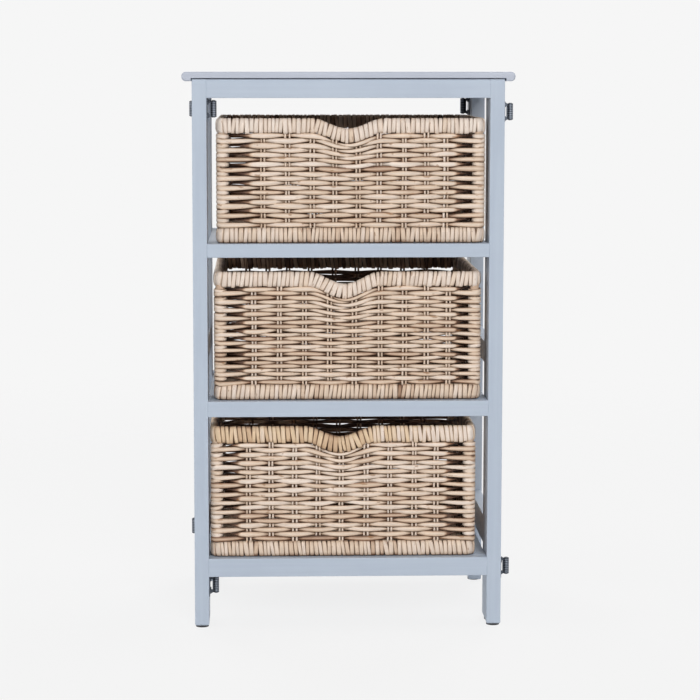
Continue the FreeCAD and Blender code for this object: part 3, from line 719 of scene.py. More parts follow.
def oval_rings(
    centre: np.ndarray,
    across: np.ndarray,
    up: np.ndarray,
    thick: np.ndarray | float,
    high: np.ndarray | float,
    sides: int,
) -> np.ndarray:
    """Rings of an oval section carried along paths.

    A ring's point is the path's point plus across times half the thickness times the cosine of its angle, plus
    up times half the height times the sine. Directions and sizes spread over the paths' points.

    Args:
        centre: path points as strand, point, coordinate.
        across: unit direction of the section's thickness.
        up: unit direction of the section's height.
        thick: thickness.
        high: height.
        sides: points round the section.

    Returns:
        Rings as strand, point, place round the section, coordinate.
    """
    angle = section_angles(sides)[:, None]
    outward = across[..., None, :] * (np.asarray(thick)[..., None, None] / 2.0) * np.cos(angle)
    upward = up[..., None, :] * (np.asarray(high)[..., None, None] / 2.0) * np.sin(angle)
    return centre[..., None, :] + outward + upward


def rounded_oblong(steps: int, power: float) -> tuple[np.ndarray, np.ndarray]:
    """Places round an oblong with rounded corners, as shares of its half width and half height.

    They are the cosine and the sine of even angles, taken to 2 over the oblong's power with their signs kept.

    Args:
        steps: places round the oblong.
        power: 2 for an oval, and more for squarer corners.

    Returns:
        The shares outwards and upwards.
    """
    angle = np.linspace(0.0, FULL_TURN, steps, endpoint=False) + math.pi / steps
    out, lift = (np.sign(wave) * np.abs(wave) ** (2.0 / power) for wave in (np.cos(angle), np.sin(angle)))
    return out, lift


def circle(steps: int) -> tuple[np.ndarray, np.ndarray]:
    """Even angles round a level circle, and the outward direction at each."""
    angle = np.linspace(0.0, FULL_TURN, steps, endpoint=False)
    return angle, np.stack([np.cos(angle), np.sin(angle), np.zeros(steps)], axis=1)


def painted_crevice_shade(sides: int, edge: float, back: float) -> np.ndarray:
    """Painted shade round an oval section, from its outer side: darkest where strands touch and on the inner side.

    It is edge times the fourth power of the sine, strongest where strands touch, plus the inner shade times half
    of one less the cosine, strongest on the inner side.

    Args:
        sides: points round the section.
        edge: the painted shade added where strands touch.
        back: the painted shade added on the inner side.

    Returns:
        The added tone at each point.
    """
    angle = section_angles(sides)
    return edge * np.sin(angle) ** 4 + back * (1.0 - np.cos(angle)) / 2.0


def closed_run(path: np.ndarray) -> np.ndarray:
    """Distance along closed paths, with the full length as its last entry."""
    step = np.linalg.norm(np.roll(path, -1, axis=1) - path, axis=2)
    return np.concatenate([np.zeros((len(path), 1)), np.cumsum(step, axis=1)], axis=1)


def eased(share: np.ndarray) -> np.ndarray:
    """A share from 0 to 1 that starts and stops gently: its square times 3 less 2 shares."""
    return share * share * (3.0 - 2.0 * share)


# Waves in a full turn, and the span of their drawn strengths.
SLOW_WAVES = np.array([3.0, 7.0, 16.0])
WAVE_STRENGTHS = (0.3, 1.0)


def slow_waves(draw: np.random.Generator, strands: int, turn: np.ndarray, size: float) -> np.ndarray:
    """A smooth uneven value along strands: sine waves with drawn phases and strengths.

    Args:
        draw: the random source.
        strands: how many strands there are.
        turn: angle along the strands, a full turn in all on a closed one.
        size: about the largest value.

    Returns:
        Values as strand, point.
    """
    shape = (strands, len(SLOW_WAVES), 1)
    phase = draw.uniform(0.0, FULL_TURN, shape)
    strength = draw.uniform(*WAVE_STRENGTHS, shape) * size / 2.0
    return np.sum(strength * np.sin(SLOW_WAVES[None, :, None] * turn[None, None, :] + phase), axis=1)


def drawn_waves(draw: np.random.Generator, strands: int, spans: int, length: int, size: float) -> np.ndarray:
    """A value drawn at even places along closed strands and eased from each place to the next.

    Args:
        draw: the random source.
        strands: how many strands there are.
        spans: how many values are drawn along a strand.
        length: points along a strand.
        size: the values' standard deviation.

    Returns:
        Values as strand, point.
    """
    drawn = draw.normal(0.0, size, (strands, spans))
    place = np.arange(length) * spans / length
    left = place.astype(int)
    ease = eased(place - left)
    return drawn[:, left] * (1.0 - ease) + drawn[:, (left + 1) % spans] * ease


@dataclass(frozen=True)
class RoundedLoop:
    """A rectangle with rounded corners, seen from above and followed anticlockwise from its front right corner."""

    centre: Span
    half_x: float
    half_y: float
    radius: float
    corner_steps: int = 9

    def table(self) -> tuple[np.ndarray, np.ndarray, np.ndarray]:
        """A quarter circle at each corner, joined by straight runs.

        Returns:
            Points, outward normals and distances along the loop.
        """
        turn = np.linspace(0.0, QUARTER_TURN, self.corner_steps)
        # The front right corner starts at three quarters of a turn, where the loop faces forwards.
        angles = np.concatenate([turn + start * QUARTER_TURN for start in (3, 4, 5, 6)])
        reach = np.array([self.half_x - self.radius, self.half_y - self.radius])
        centres = np.repeat(np.array([[1, -1], [1, 1], [-1, 1], [-1, -1]]) * reach, self.corner_steps, axis=0)
        normals = np.stack([np.cos(angles), np.sin(angles)], axis=1)
        points = centres + self.radius * normals + np.array(self.centre)
        points, normals = np.concatenate([points, points[:1]]), np.concatenate([normals, normals[:1]])
        run = np.concatenate([[0.0], np.cumsum(np.linalg.norm(np.diff(points, axis=0), axis=1))])
        return points, normals, run

    def length(self) -> float:
        """The loop's length."""
        return float(self.table()[2][-1])

    def at(self, distance: np.ndarray) -> tuple[np.ndarray, np.ndarray]:
        """Points and outward normals at distances along the loop.

        Args:
            distance: any array of distances.

        Returns:
            Points and normals with one more axis than the distances.
        """
        points, normals, run = self.table()
        wrapped = np.mod(distance, run[-1])
        both = [np.interp(wrapped, run, column) for column in (*points.T, *normals.T)]
        normal = np.stack(both[2:], axis=-1)
        return np.stack(both[:2], axis=-1), normal / np.linalg.norm(normal, axis=-1, keepdims=True)


@dataclass(frozen=True)
class RattanStock:
    """Sizes of the rattan and of what all the baskets share.

    A row's heights are shares of the row pitch: at a crossing half way through the wall, what is added in front
    of a stake, what is lost for each unit of tuck, and the least. The tuck says how far a row draws in at the
    inner side of a front post, where -1 is a plain inner crossing. A wrap's places are shares of its width, with
    1 at its edges. Steps and sides count a mesh's points.
    """

    # Rows of weaving
    strand_thick: float = 2.9 * MM
    strand_sides: int = 8
    span_steps: int = 8
    crossing_gap: float = 0.05 * MM
    row_high: float = 1.05
    front_high: float = 0.16
    tuck_low: float = 0.12
    least_high: float = 0.24
    tuck: float = -5.5
    # Pairs of stakes and the wall
    stake_thick: float = 3.2 * MM
    stake_steps: int = 9
    stake_foot: float = 9.0 * MM
    stake_head: float = 11.0 * MM
    stake_turn: float = 1.2
    pair_gap: float = 4.7 * MM
    wall_inset: float = 6.5 * MM
    # Corner posts
    post_inset: float = 10.0 * MM
    post_radius: float = 9.2 * MM
    post_end: float = 8.0 * MM
    post_steps: int = 4
    post_sides: int = 12
    post_wrap_steps: int = 20
    # Borders and their wraps
    border_thick: float = 12.8 * MM
    border_power: float = 3.0
    core_steps: int = 240
    core_cover: float = 4.0 * MM
    foot_high: float = 22.2 * MM
    foot_group: float = 33.0 * MM
    wrap_width: float = 6.2 * MM
    wrap_depth: float = 1.2 * MM
    wrap_steps: int = 12
    wrap_places: tuple[float, ...] = (-0.52, -0.34, 0.34, 0.52)
    wrap_edges: tuple[float, ...] = (1.0, 0.0, 0.0, 1.0)
    corner_radius: float = 14.0 * MM
    # The slit under the rim, and the scoop at the front
    front_slit: float = 0.3 * MM
    slit_reach: float = 44.0 * MM
    slit_ease: float = 30.0 * MM
    scoop_width: float = 104.0 * MM
    scoop_shift: float = -4.0 * MM
    scoop_reach: float = 14.0 * MM
    facing_front: float = -0.8
    # Base
    base_rod: float = 3.0 * MM
    base_rod_steps: int = 4
    base_strand: float = 2.4 * MM
    base_strands: int = 44
    base_strand_steps: int = 6
    base_cover: float = 1.2 * MM
    base_fill: float = 0.97
    base_sides: int = 6


@dataclass(frozen=True)
class HandWork:
    """How uneven the weaving is: the spread, or the span, of what is drawn for a strand.

    The slope is how far the rim's wraps lean with its dip. On the foot the lean fans out over each group of
    wraps, about the share of the group at which they stand upright.
    """

    row_wave: float = 0.6 * MM
    row_step: float = 0.45 * MM
    row_sway: float = 0.12 * MM
    row_swell: float = 0.07
    row_high: Span = (0.92, 1.06)
    row_high_step: float = 0.06
    stake_sway: float = 0.8 * MM
    stake_thick: Span = (0.9, 1.06)
    post_wrap_tilt: float = 0.7 * MM
    post_wrap_phase: Span = (0.0, 6.3)
    post_wrap_high: Span = (0.96, 1.12)
    wrap_width: Span = (0.78, 1.22)
    wrap_high: Span = (0.96, 1.0)
    wrap_hang: Span = (0.9, 1.14)
    wrap_proud: Span = (0.94, 1.0)
    rim_lean: float = 0.05
    rim_slope: float = -0.55
    rim_slope_step: float = 2.0 * MM
    foot_lean: float = 0.04
    foot_fan: float = 0.1
    foot_upright: float = 0.4
    pattern_start: Span = (0.0, 5.0)


@dataclass(frozen=True)
class ToneWork:
    """Tones that are added to a basket's own, from 0 for the palest rattan to 1 for the darkest.

    A painted shade pair is the tone added where strands touch and the one added on their inner side.
    """

    strand_spread: float = 0.1
    # Painted shade where strands touch and on their inner side, for single strands and for rows.
    strand_painted_shade: Span = (0.5, 0.58)
    row_painted_shade: Span = (0.76, 0.58)
    row_drift: float = 0.08
    row_spans: int = 24
    dark_row: float = 0.5
    # Painted shade where a row dives behind a stake and where it tucks in behind a front post.
    dive_shade: float = 0.5
    dive_shade_start: float = -0.3
    tuck: float = 0.2
    stake_mean: float = -0.02
    post_core: float = 0.35
    post_core_most: float = 0.85
    post_wrap_spread: float = 0.12
    border_core: float = 0.9
    wrap_spread: float = 0.08
    wrap_stain: float = 0.24
    wrap_unstained: float = 0.975
    wrap_drift: float = 0.06
    wrap_drift_rate: float = 14.0
    # Painted shade on the wraps' inner side and edges, and a painted shadow along the foot's lower edge.
    wrap_inner_shade: float = 0.32
    wrap_edge_shade: float = 0.42
    foot: float = 0.1
    foot_line_shade: float = 4.0
    foot_line_shade_start: float = 0.75
    base: float = 0.3
    base_spans: int = 6


@dataclass
class WovenBasket:
    """One basket: weavers, stakes and corner posts, rim and foot borders, and a woven base.

    The front stakes are places across the basket in millimetres. Tones run from 0, the palest, to 1: the wall's,
    the rim's, and how much paler the rim gets towards its right end. The slit is the gap under the rim at the
    sides and the rear, the lean is the slant of the borders' wraps, and dark rows are numbered from the foot up.
    """

    level: Level
    rows: int
    front_stakes: tuple[float, ...]
    tone: float
    rim_tone: float
    rim_high: float
    rim_slit: float
    scoop_deep: float
    lean: float
    seed: int
    rim_fade: float = 0.0
    dark_rows: tuple[int, ...] = ()
    side_stakes: int = 7
    stock: RattanStock = field(default_factory=RattanStock)
    hand: HandWork = field(default_factory=HandWork)
    tones: ToneWork = field(default_factory=ToneWork)

    def __post_init__(self) -> None:
        """Takes the basket's place from its solids."""
        rim_low, rim_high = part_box(f"{self.level.value}_basket_rim")
        foot_low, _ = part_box(f"{self.level.value}_basket_foot")
        self.base_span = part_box(f"{self.level.value}_basket_base")
        self.centre = np.array([(rim_low.x + rim_high.x) / 2.0, (rim_low.y + rim_high.y) / 2.0])
        self.half = np.array([(rim_high.x - rim_low.x) / 2.0, (rim_high.y - rim_low.y) / 2.0])
        self.low, self.top = foot_low.z, rim_high.z
        self.draw = np.random.default_rng(self.seed)
        self.wall_low = self.low + self.stock.foot_high
        wall_top = self.top - self.rim_high - self.rim_slit
        self.pitch = (wall_top - self.wall_low) / self.rows

    def pattern_starts(self, strands: int) -> np.ndarray:
        """A drawn distance at which each strand starts in its finish's pattern."""
        return self.draw.uniform(*self.hand.pattern_start, (strands, 1))

    def strand_tones(self, strands: int, spread: float, mean: float = 0.0) -> np.ndarray:
        """A drawn tone for each whole strand, as strand, 1, 1."""
        return np.clip(self.tone + self.draw.normal(mean, spread, (strands, 1, 1)), *STRAND_SPAN)

    def dip(self, x: np.ndarray, normal_y: np.ndarray) -> np.ndarray:
        """How far the rim dips: a raised cosine across the scoop, on the front alone.

        Args:
            x: place across the basket.
            normal_y: the Y part of the wall's outward normal there.

        Returns:
            The dip, downwards.
        """
        share = (x - self.centre[0] - self.stock.scoop_shift) / (self.stock.scoop_width / 2.0)
        wave = 0.5 + 0.5 * np.cos(math.pi * np.clip(share, -1.0, 1.0))
        return np.where(normal_y < self.stock.facing_front, self.scoop_deep * wave, 0.0)

    def drop(self, path: np.ndarray) -> np.ndarray:
        """How far the top row drops along its path: the rim's dip, less what closes the slit at the front.

        Args:
            path: the row's points seen from above.

        Returns:
            The drop, downwards, at each point.
        """
        behind = path[:, 1] - self.centre[1] + self.half[1]
        near = np.clip((self.stock.slit_reach - behind) / self.stock.slit_ease, 0.0, 1.0)
        lift = (self.rim_slit - self.stock.front_slit) * eased(near)
        return self.dip(path[:, 0], np.where(behind < self.stock.scoop_reach, -1.0, 0.0)) - lift

    def walls(self) -> list[tuple[np.ndarray, np.ndarray, np.ndarray]]:
        """The four walls, anticlockwise from the front.

        Returns:
            Each wall's stake places on its middle line, its direction and its outward normal.
        """
        middle = self.half - self.stock.wall_inset
        ends = middle - (self.stock.post_inset - self.stock.wall_inset)
        across = np.array(self.front_stakes) * MM
        aside = np.linspace(-ends[1], ends[1], self.side_stakes + 2)[1:-1]
        walls = []
        for places, direction, reach in (
            (across, (1.0, 0.0), middle[1]),
            (aside, (0.0, 1.0), middle[0]),
            (across, (-1.0, 0.0), middle[1]),
            (aside, (0.0, -1.0), middle[0]),
        ):
            along = np.array(direction)
            normal = np.array([along[1], -along[0]])
            walls.append((self.centre + places[:, None] * along + reach * normal, along, normal))
        return walls

    def posts(self) -> np.ndarray:
        """The corner posts' centres: front left, front right, rear right, rear left."""
        reach = self.half - self.stock.post_inset
        return self.centre + np.array([[-1, -1], [1, -1], [1, 1], [-1, 1]]) * reach

    def weaver_path(self, side: Side) -> tuple[np.ndarray, np.ndarray]:
        """A row's path seen from above, as cubic Hermite spans between the stakes and posts it passes.

        At a stake the row runs along the wall, set outwards or inwards by half a stake and half a strand, in
        turn. At a post it goes round the outside on a quarter circle, or cuts across its inner side.

        Args:
            side: the side of the posts that the row passes on.

        Returns:
            The path's points, and for each point 1 at an outer crossing, -1 at an inner one, and the stock's
            tuck at the inner side of a front post.
        """
        stock = self.stock
        set_off = (stock.stake_thick + stock.strand_thick) / 2.0 + stock.crossing_gap
        outer = stock.post_radius - stock.strand_thick / 2.0
        inner = stock.post_radius + stock.strand_thick / 2.0
        knots, leads, faces = [], [], []
        for number, (post, (stakes, along, normal)) in enumerate(zip(self.posts(), self.walls())):
            before = np.array([normal[1], -normal[0]])
            if side is Side.OUTSIDE:
                turns = np.array([before, before + normal, normal])
                turns = turns / np.linalg.norm(turns, axis=1, keepdims=True)
                knots.append(post + outer * turns)
                leads.append(np.stack([-turns[:, 1], turns[:, 0]], axis=1))
                faces.append(np.ones(len(turns)))
            else:
                turn = -(before + normal) / math.sqrt(2.0)
                knots.append((post + inner * turn)[None])
                leads.append(np.array([[turn[1], -turn[0]]]))
                # The first two posts are the front ones.
                faces.append(np.full(1, stock.tuck if number < 2 else -1.0))
            sign = -side.value * (1.0 - 2.0 * (np.arange(len(stakes)) % 2))
            knots.append(stakes + sign[:, None] * normal * set_off)
            leads.append(np.repeat(along[None], len(stakes), axis=0))
            faces.append(sign)
        start, lead, face = np.concatenate(knots), np.concatenate(leads), np.concatenate(faces)
        end, lead_end, face_end = (np.roll(part, -1, axis=0) for part in (start, lead, face))
        chord = np.linalg.norm(end - start, axis=1)[:, None, None]
        t = (np.arange(stock.span_steps) / stock.span_steps)[None, :, None]
        path = (
            (2 * t**3 - 3 * t**2 + 1) * start[:, None]
            + (t**3 - 2 * t**2 + t) * chord * lead[:, None]
            + (3 * t**2 - 2 * t**3) * end[:, None]
            + (t**3 - t**2) * chord * lead_end[:, None]
        )
        ease = (3 * t**2 - 2 * t**3)[..., 0]
        return path.reshape(-1, 2), (face[:, None] * (1 - ease) + face_end[:, None] * ease).reshape(-1)

    def row_tones(self, rows: np.ndarray, spans: int, length: int) -> np.ndarray:
        """Tones of rows of weaving: a drawn tone for each row that drifts along it.

        Args:
            rows: the rows' numbers from the foot up, where the base's follow the wall's.
            spans: how many drawn tones there are along a row.
            length: points along a row.

        Returns:
            Tones as row, point, 1.
        """
        base = self.tone + self.draw.normal(0.0, self.tones.strand_spread, (len(rows), 1))
        dark = self.tones.dark_row * np.isin(rows, self.dark_rows)[:, None]
        drift = drawn_waves(self.draw, len(rows), spans, length, self.tones.row_drift)
        return (base + dark + drift)[..., None]

    def weavers(self, material: bpy.types.Material) -> bpy.types.Object:
        """Weaves the wall: an oval strand for each row, tallest where it crosses in front of a stake, with painted
        shade where it dives behind one.

        A row's height on the wall is its number times the row pitch, less a share of the top row's drop that
        grows with the fourth power of the row's number, plus slow waves and a drawn step at each crossing. Rows
        are thinner where the drop squeezes them.

        Args:
            material: the rattan finish.

        Returns:
            The piece.
        """
        bundle = StrandBundle()
        stock, hand, tones = self.stock, self.hand, self.tones
        # Painted shade where rows touch and on their inner side.
        painted_row_shade = painted_crevice_shade(stock.strand_sides, *tones.row_painted_shade)
        for side, first in ((Side.OUTSIDE, 0), (Side.INSIDE, 1)):
            path, face = self.weaver_path(side)
            rows = np.arange(first, self.rows, 2)
            ahead = np.roll(path, -1, axis=0) - np.roll(path, 1, axis=0)
            ahead = ahead / np.linalg.norm(ahead, axis=1, keepdims=True)
            out = np.stack([ahead[:, 1], -ahead[:, 0]], axis=1)
            turn = np.linspace(0.0, FULL_TURN, len(path), endpoint=False)
            waves = partial(slow_waves, self.draw, len(rows), turn)
            steps = partial(drawn_waves, self.draw, len(rows), len(path) // stock.span_steps, len(path))
            share = (rows[:, None] + 0.5) / self.rows
            drop = self.drop(path)[None]
            height = self.wall_low + share * self.rows * self.pitch - drop * share**4
            height = height + waves(hand.row_wave) + steps(hand.row_step)
            centre = raised(path + waves(hand.row_sway)[..., None] * out, height)
            # The drop's slope over the rows, which is how much of their pitch they lose.
            squeeze = 1.0 - 4.0 * drop * share**3 / (self.rows * self.pitch)
            tucked = np.clip(-1.0 - face, 0.0, None)
            swell = stock.row_high + stock.front_high * face - stock.tuck_low * tucked
            swell = np.maximum(swell, stock.least_high)
            high = self.pitch * swell * squeeze * (1.0 + waves(hand.row_swell))
            high = high * self.draw.uniform(*hand.row_high, (len(rows), 1))
            high = high * (1.0 + steps(hand.row_high_step))
            rings = oval_rings(centre, raised(out, 0.0), UP, stock.strand_thick, high, stock.strand_sides)
            run = closed_run(centre) + self.pattern_starts(len(rows))
            # Painted shade: the row darkens where it dives behind a stake and where it tucks in behind a front
            # post.
            inside = np.clip((tones.dive_shade_start - face) / (1.0 + tones.dive_shade_start), 0.0, 1.0)
            dive_shade = tones.dive_shade * inside**2 + tones.tuck * tucked
            bundle.add(rings, True, run, self.row_tones(rows, tones.row_spans, len(path)) + dive_shade[:, None] + painted_row_shade)
        return bundle.build(f"{self.level.value}_basket_weavers", material)

    def stakes(self, material: bpy.types.Material) -> bpy.types.Object:
        """Sets the paired stakes, the corner posts and the wraps that fill the posts between rows.

        A stake is a round rod with slow waves.

        Args:
            material: the rattan finish.

        Returns:
            The piece.
        """
        bundle = StrandBundle()
        stock, hand, tones = self.stock, self.hand, self.tones
        rise = np.linspace(0.0, 1.0, stock.stake_steps)
        low = self.low + stock.stake_foot
        for stakes, along, normal in self.walls():
            apart = along * stock.pair_gap / 2.0
            feet = np.concatenate([stakes + apart, stakes - apart])
            top = self.top - stock.stake_head - self.dip(feet[:, 0], np.full(len(feet), normal[1]))
            sway = slow_waves(self.draw, len(feet), rise * stock.stake_turn, hand.stake_sway)
            centre = raised(feet[:, None] + sway[..., None] * along, low + (top[:, None] - low) * rise)
            thick = stock.stake_thick * self.draw.uniform(*hand.stake_thick, (len(feet), 1))
            outward, sideways = raised(normal, 0.0), raised(along, 0.0)
            rings = oval_rings(centre, outward, sideways, thick, thick, stock.strand_sides)
            run = centre[:1, :, 2] + self.pattern_starts(len(feet))
            tone = self.strand_tones(len(feet), tones.strand_spread, tones.stake_mean)
            # Painted shade where the stakes touch and on their inner side.
            bundle.add(rings, False, run, tone + painted_crevice_shade(stock.strand_sides, *tones.strand_painted_shade))
        self.add_posts(bundle)
        self.add_post_wraps(bundle)
        return bundle.build(f"{self.level.value}_basket_stakes", material)

    def add_posts(self, bundle: StrandBundle) -> None:
        """Adds the corner posts' cores, round rods from foot to rim.

        Args:
            bundle: the strands to add them to.
        """
        stock = self.stock
        rise = np.linspace(self.low + stock.post_end, self.top - stock.post_end, stock.post_steps)
        posts = self.posts()
        thick = 2.0 * (stock.post_radius - stock.strand_thick)
        rings = oval_rings(raised(posts[:, None], rise), TO_RIGHT, TO_REAR, thick, thick, stock.post_sides)
        tone = min(self.tone + self.tones.post_core, self.tones.post_core_most)
        bundle.add(rings, False, np.repeat(rise[None], len(posts), 0), tone)

    def add_post_wraps(self, bundle: StrandBundle) -> None:
        """Adds a wrap round each post at each row that passes the post's inner side: an oval strand on a slightly
        tilted circle.

        Args:
            bundle: the strands to add them to.
        """
        stock, hand, tones = self.stock, self.hand, self.tones
        posts = self.posts()
        inner_rows = np.arange(1, self.rows, 2)
        post, row = (part.ravel() for part in np.meshgrid(np.arange(len(posts)), inner_rows, indexing="ij"))
        angle, out = circle(stock.post_wrap_steps)
        shape = (len(post), 1)
        tilt = self.draw.normal(0.0, hand.post_wrap_tilt, shape)
        wave = np.sin(angle + self.draw.uniform(*hand.post_wrap_phase, shape))
        height = (self.wall_low + (row + 0.5) * self.pitch)[:, None] + tilt * wave
        radius = stock.post_radius - stock.strand_thick / 2.0
        centre = raised(posts[post][:, None] + radius * out[:, :2], height)
        high = self.pitch * self.draw.uniform(*hand.post_wrap_high, shape)
        rings = oval_rings(centre, out, UP, stock.strand_thick, high, stock.strand_sides)
        tone = self.strand_tones(len(post), tones.post_wrap_spread)
        run = closed_run(centre) + self.pattern_starts(len(post))
        # Painted shade where the post wraps touch and on their inner side.
        bundle.add(rings, True, run, tone + painted_crevice_shade(stock.strand_sides, *tones.strand_painted_shade))

    def add_core(self, bundle: StrandBundle, loop: RoundedLoop, middle: float, high: float, dips: bool) -> None:
        """Adds the rods inside a border: an oval carried round the loop, dipping with the rim.

        Args:
            bundle: the strands to add it to.
            loop: the border's middle line.
            middle: height of the border's middle.
            high: the border's height.
            dips: whether the border follows the scoop.
        """
        stock = self.stock
        place, normal = loop.at(np.linspace(0.0, loop.length(), stock.core_steps, endpoint=False)[None])
        fall = self.dip(place[..., 0], normal[..., 1]) if dips else 0.0
        centre = raised(place, middle - fall)
        thick = stock.border_thick - stock.core_cover
        rings = oval_rings(centre, raised(normal, 0.0), UP, thick, high - stock.core_cover, stock.strand_sides)
        bundle.add(rings, True, closed_run(centre), self.tones.border_core)

    def wrap_lean(self, loop: RoundedLoop, start: np.ndarray, dips: bool) -> np.ndarray:
        """How far each wrap of a border leans: with the slope of the rim, or in groups on the foot.

        Args:
            loop: the border's middle line.
            start: the wraps' distances along it.
            dips: whether the border follows the scoop.

        Returns:
            The distance along the loop for each unit of height.
        """
        stock, hand = self.stock, self.hand
        if dips:
            place, normal = loop.at(start)
            ahead, _ = loop.at(start + hand.rim_slope_step)
            fall = self.dip(place[:, 0], normal[:, 1]) - self.dip(ahead[:, 0], normal[:, 1])
            drawn = self.draw.normal(0.0, hand.rim_lean, len(start))
            return self.lean + drawn + hand.rim_slope * (fall / hand.rim_slope_step)
        group = np.mod(start, stock.foot_group) / stock.foot_group
        drawn = self.draw.normal(0.0, hand.foot_lean, len(start))
        return self.lean + drawn + hand.foot_fan * (hand.foot_upright - group)

    def border(
        self, name: str, middle: float, high: float, tone: float, dips: bool, material: bpy.types.Material
    ) -> bpy.types.Object:
        """Wraps a border: flat strands packed side by side round an oval core.

        A wrap's point is the loop's point at the wrap's own distance plus its place across the wrap, moved
        outwards and upwards to a rounded oblong that is shallower at the wrap's two edges. Wraps get painted shade
        at their edges and on the inner side, and a painted shadow along the lower edge of the foot.

        Args:
            name: the piece's name.
            middle: height of the border's middle.
            high: the border's height.
            tone: the wraps' mean tone.
            dips: whether the border follows the scoop.
            material: the rattan finish.

        Returns:
            The piece.
        """
        bundle = StrandBundle()
        stock, hand, tones = self.stock, self.hand, self.tones
        half = self.half - stock.wall_inset
        loop = RoundedLoop(tuple(self.centre), half[0], half[1], stock.corner_radius - stock.wall_inset)
        length = loop.length()
        count = int(length / stock.wrap_width)
        each = (count, 1, 1)
        width = self.draw.uniform(*hand.wrap_width, count)
        width = width * length / width.sum()
        start = np.cumsum(width) - width / 2.0
        out, lift = (part[:, None] for part in rounded_oblong(stock.wrap_steps, stock.border_power))
        edges = np.array(stock.wrap_edges)
        depth = edges * stock.wrap_depth
        rise = lift * (high / 2.0 * self.draw.uniform(*hand.wrap_high, each) - depth)
        if dips:
            rise = np.where(rise < 0.0, rise * self.draw.uniform(*hand.wrap_hang, each), rise)
        spread = out * (stock.border_thick / 2.0 - depth) * self.draw.uniform(*hand.wrap_proud, each)
        lean = self.wrap_lean(loop, start, dips).reshape(each)
        distance = start.reshape(each) + np.array(stock.wrap_places) * width.reshape(each) + lean * rise
        place, normal = loop.at(distance)
        fall = self.dip(place[..., 0], normal[..., 1]) if dips else 0.0
        rings = raised(place + spread[..., None] * normal, middle + rise - fall)
        drawn = self.draw.normal(0.0, tones.wrap_spread, each)
        drawn = drawn + tones.wrap_stain * (self.draw.random(each) > tones.wrap_unstained)
        drift = tones.wrap_drift * np.sin(start.reshape(each) * tones.wrap_drift_rate + self.seed)
        # Painted shade on the wraps' inner side, and on the foot a painted shadow along its lower edge.
        shade = tones.wrap_inner_shade * (1.0 - out)
        if dips:
            beyond = np.clip(place[:, :1, :1, 0] - self.centre[0], 0.0, None)
            drift = drift - self.rim_fade * beyond / self.half[0]
        else:
            shade = shade + tones.foot_line_shade * np.clip(-lift - tones.foot_line_shade_start, 0.0, None)
        run = closed_run(rings.mean(axis=2)) + self.pattern_starts(count)
        # Painted shade along each wrap's two edges, where it meets its neighbours.
        bundle.add(rings, True, run, tone + drawn + drift + shade + tones.wrap_edge_shade * edges)
        self.add_core(bundle, loop, middle, high, dips)
        return bundle.build(name, material)

    def base(self, material: bpy.types.Material) -> bpy.types.Object:
        """Weaves the base: straight paired rods from front to rear, and strands that wave over and under them.

        A strand's height is the base's middle plus a cosine of the rod's number, its sign changing row by row.

        Args:
            material: the rattan finish.

        Returns:
            The piece.
        """
        bundle = StrandBundle()
        stock, tones = self.stock, self.tones
        low, high = self.base_span
        middle = (low.z + high.z) / 2.0
        pairs = self.centre[0] + np.array(self.front_stakes) * MM
        rods = np.concatenate([pairs - stock.pair_gap / 2.0, pairs + stock.pair_gap / 2.0])
        y = np.linspace(low.y, high.y, stock.base_rod_steps)
        centre = np.stack(np.broadcast_arrays(rods[:, None], y, middle), axis=-1)
        rings = oval_rings(centre, TO_RIGHT, UP, stock.base_rod, stock.base_rod, stock.base_sides)
        run = np.repeat(y[None], len(rods), 0)
        bundle.add(rings, False, run, self.strand_tones(len(rods), tones.strand_spread))
        count = stock.base_strands
        strand = np.arange(count)[:, None]
        number = np.linspace(-1.0, len(pairs), stock.base_strand_steps * (len(pairs) + 1) + 1)
        x = np.interp(number, np.arange(-1, len(pairs) + 1), np.concatenate([[low.x], pairs, [high.x]]))
        gap = (high.y - low.y) / count
        swing = (1.0 - 2.0 * (strand % 2)) * ((high.z - low.z) / 2.0 - stock.base_cover)
        height = middle + swing * np.cos(math.pi * number)
        centre = np.stack(np.broadcast_arrays(x, low.y + (strand + 0.5) * gap, height), axis=-1)
        rings = oval_rings(centre, UP, TO_REAR, stock.base_strand, gap * stock.base_fill, stock.base_sides)
        run = x + self.pattern_starts(count)
        rows = np.arange(self.rows, self.rows + count)
        bundle.add(rings, False, run, self.row_tones(rows, tones.base_spans, len(x)) + tones.base)
        return bundle.build(f"{self.level.value}_basket_base_weave", material)

    def build(
        self, weave: bpy.types.Material, rim: bpy.types.Material, foot: bpy.types.Material
    ) -> list[bpy.types.Object]:
        """Makes the basket's pieces, sets them on its body and has them stand for its plain solids.

        Args:
            weave: the finish of the walls and the base.
            rim: the finish of the border at the rim.
            foot: the finish of the border at the foot.

        Returns:
            The pieces.
        """
        name = f"{self.level.value}_basket"
        rim_middle, foot_middle = self.top - self.rim_high / 2.0, self.low + self.stock.foot_high / 2.0
        rim_sizes = (rim_middle, self.rim_high, self.rim_tone, True)
        foot_sizes = (foot_middle, self.stock.foot_high, self.tone + self.tones.foot, False)
        pieces = [
            (self.weavers(weave), "wall", Slot.WEAVE),
            (self.stakes(weave), None, Slot.WEAVE),
            (self.border(f"{name}_rim_wraps", *rim_sizes, rim), "rim", Slot.BORDER),
            (self.border(f"{name}_foot_wraps", *foot_sizes, foot), "foot", Slot.BORDER),
            (self.base(weave), "base", Slot.WEAVE),
        ]
        for piece, node, slot in pieces:
            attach(piece, name)
            if node:
                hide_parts(f"{name}_{node}")
        return [piece for piece, _, _ in pieces]


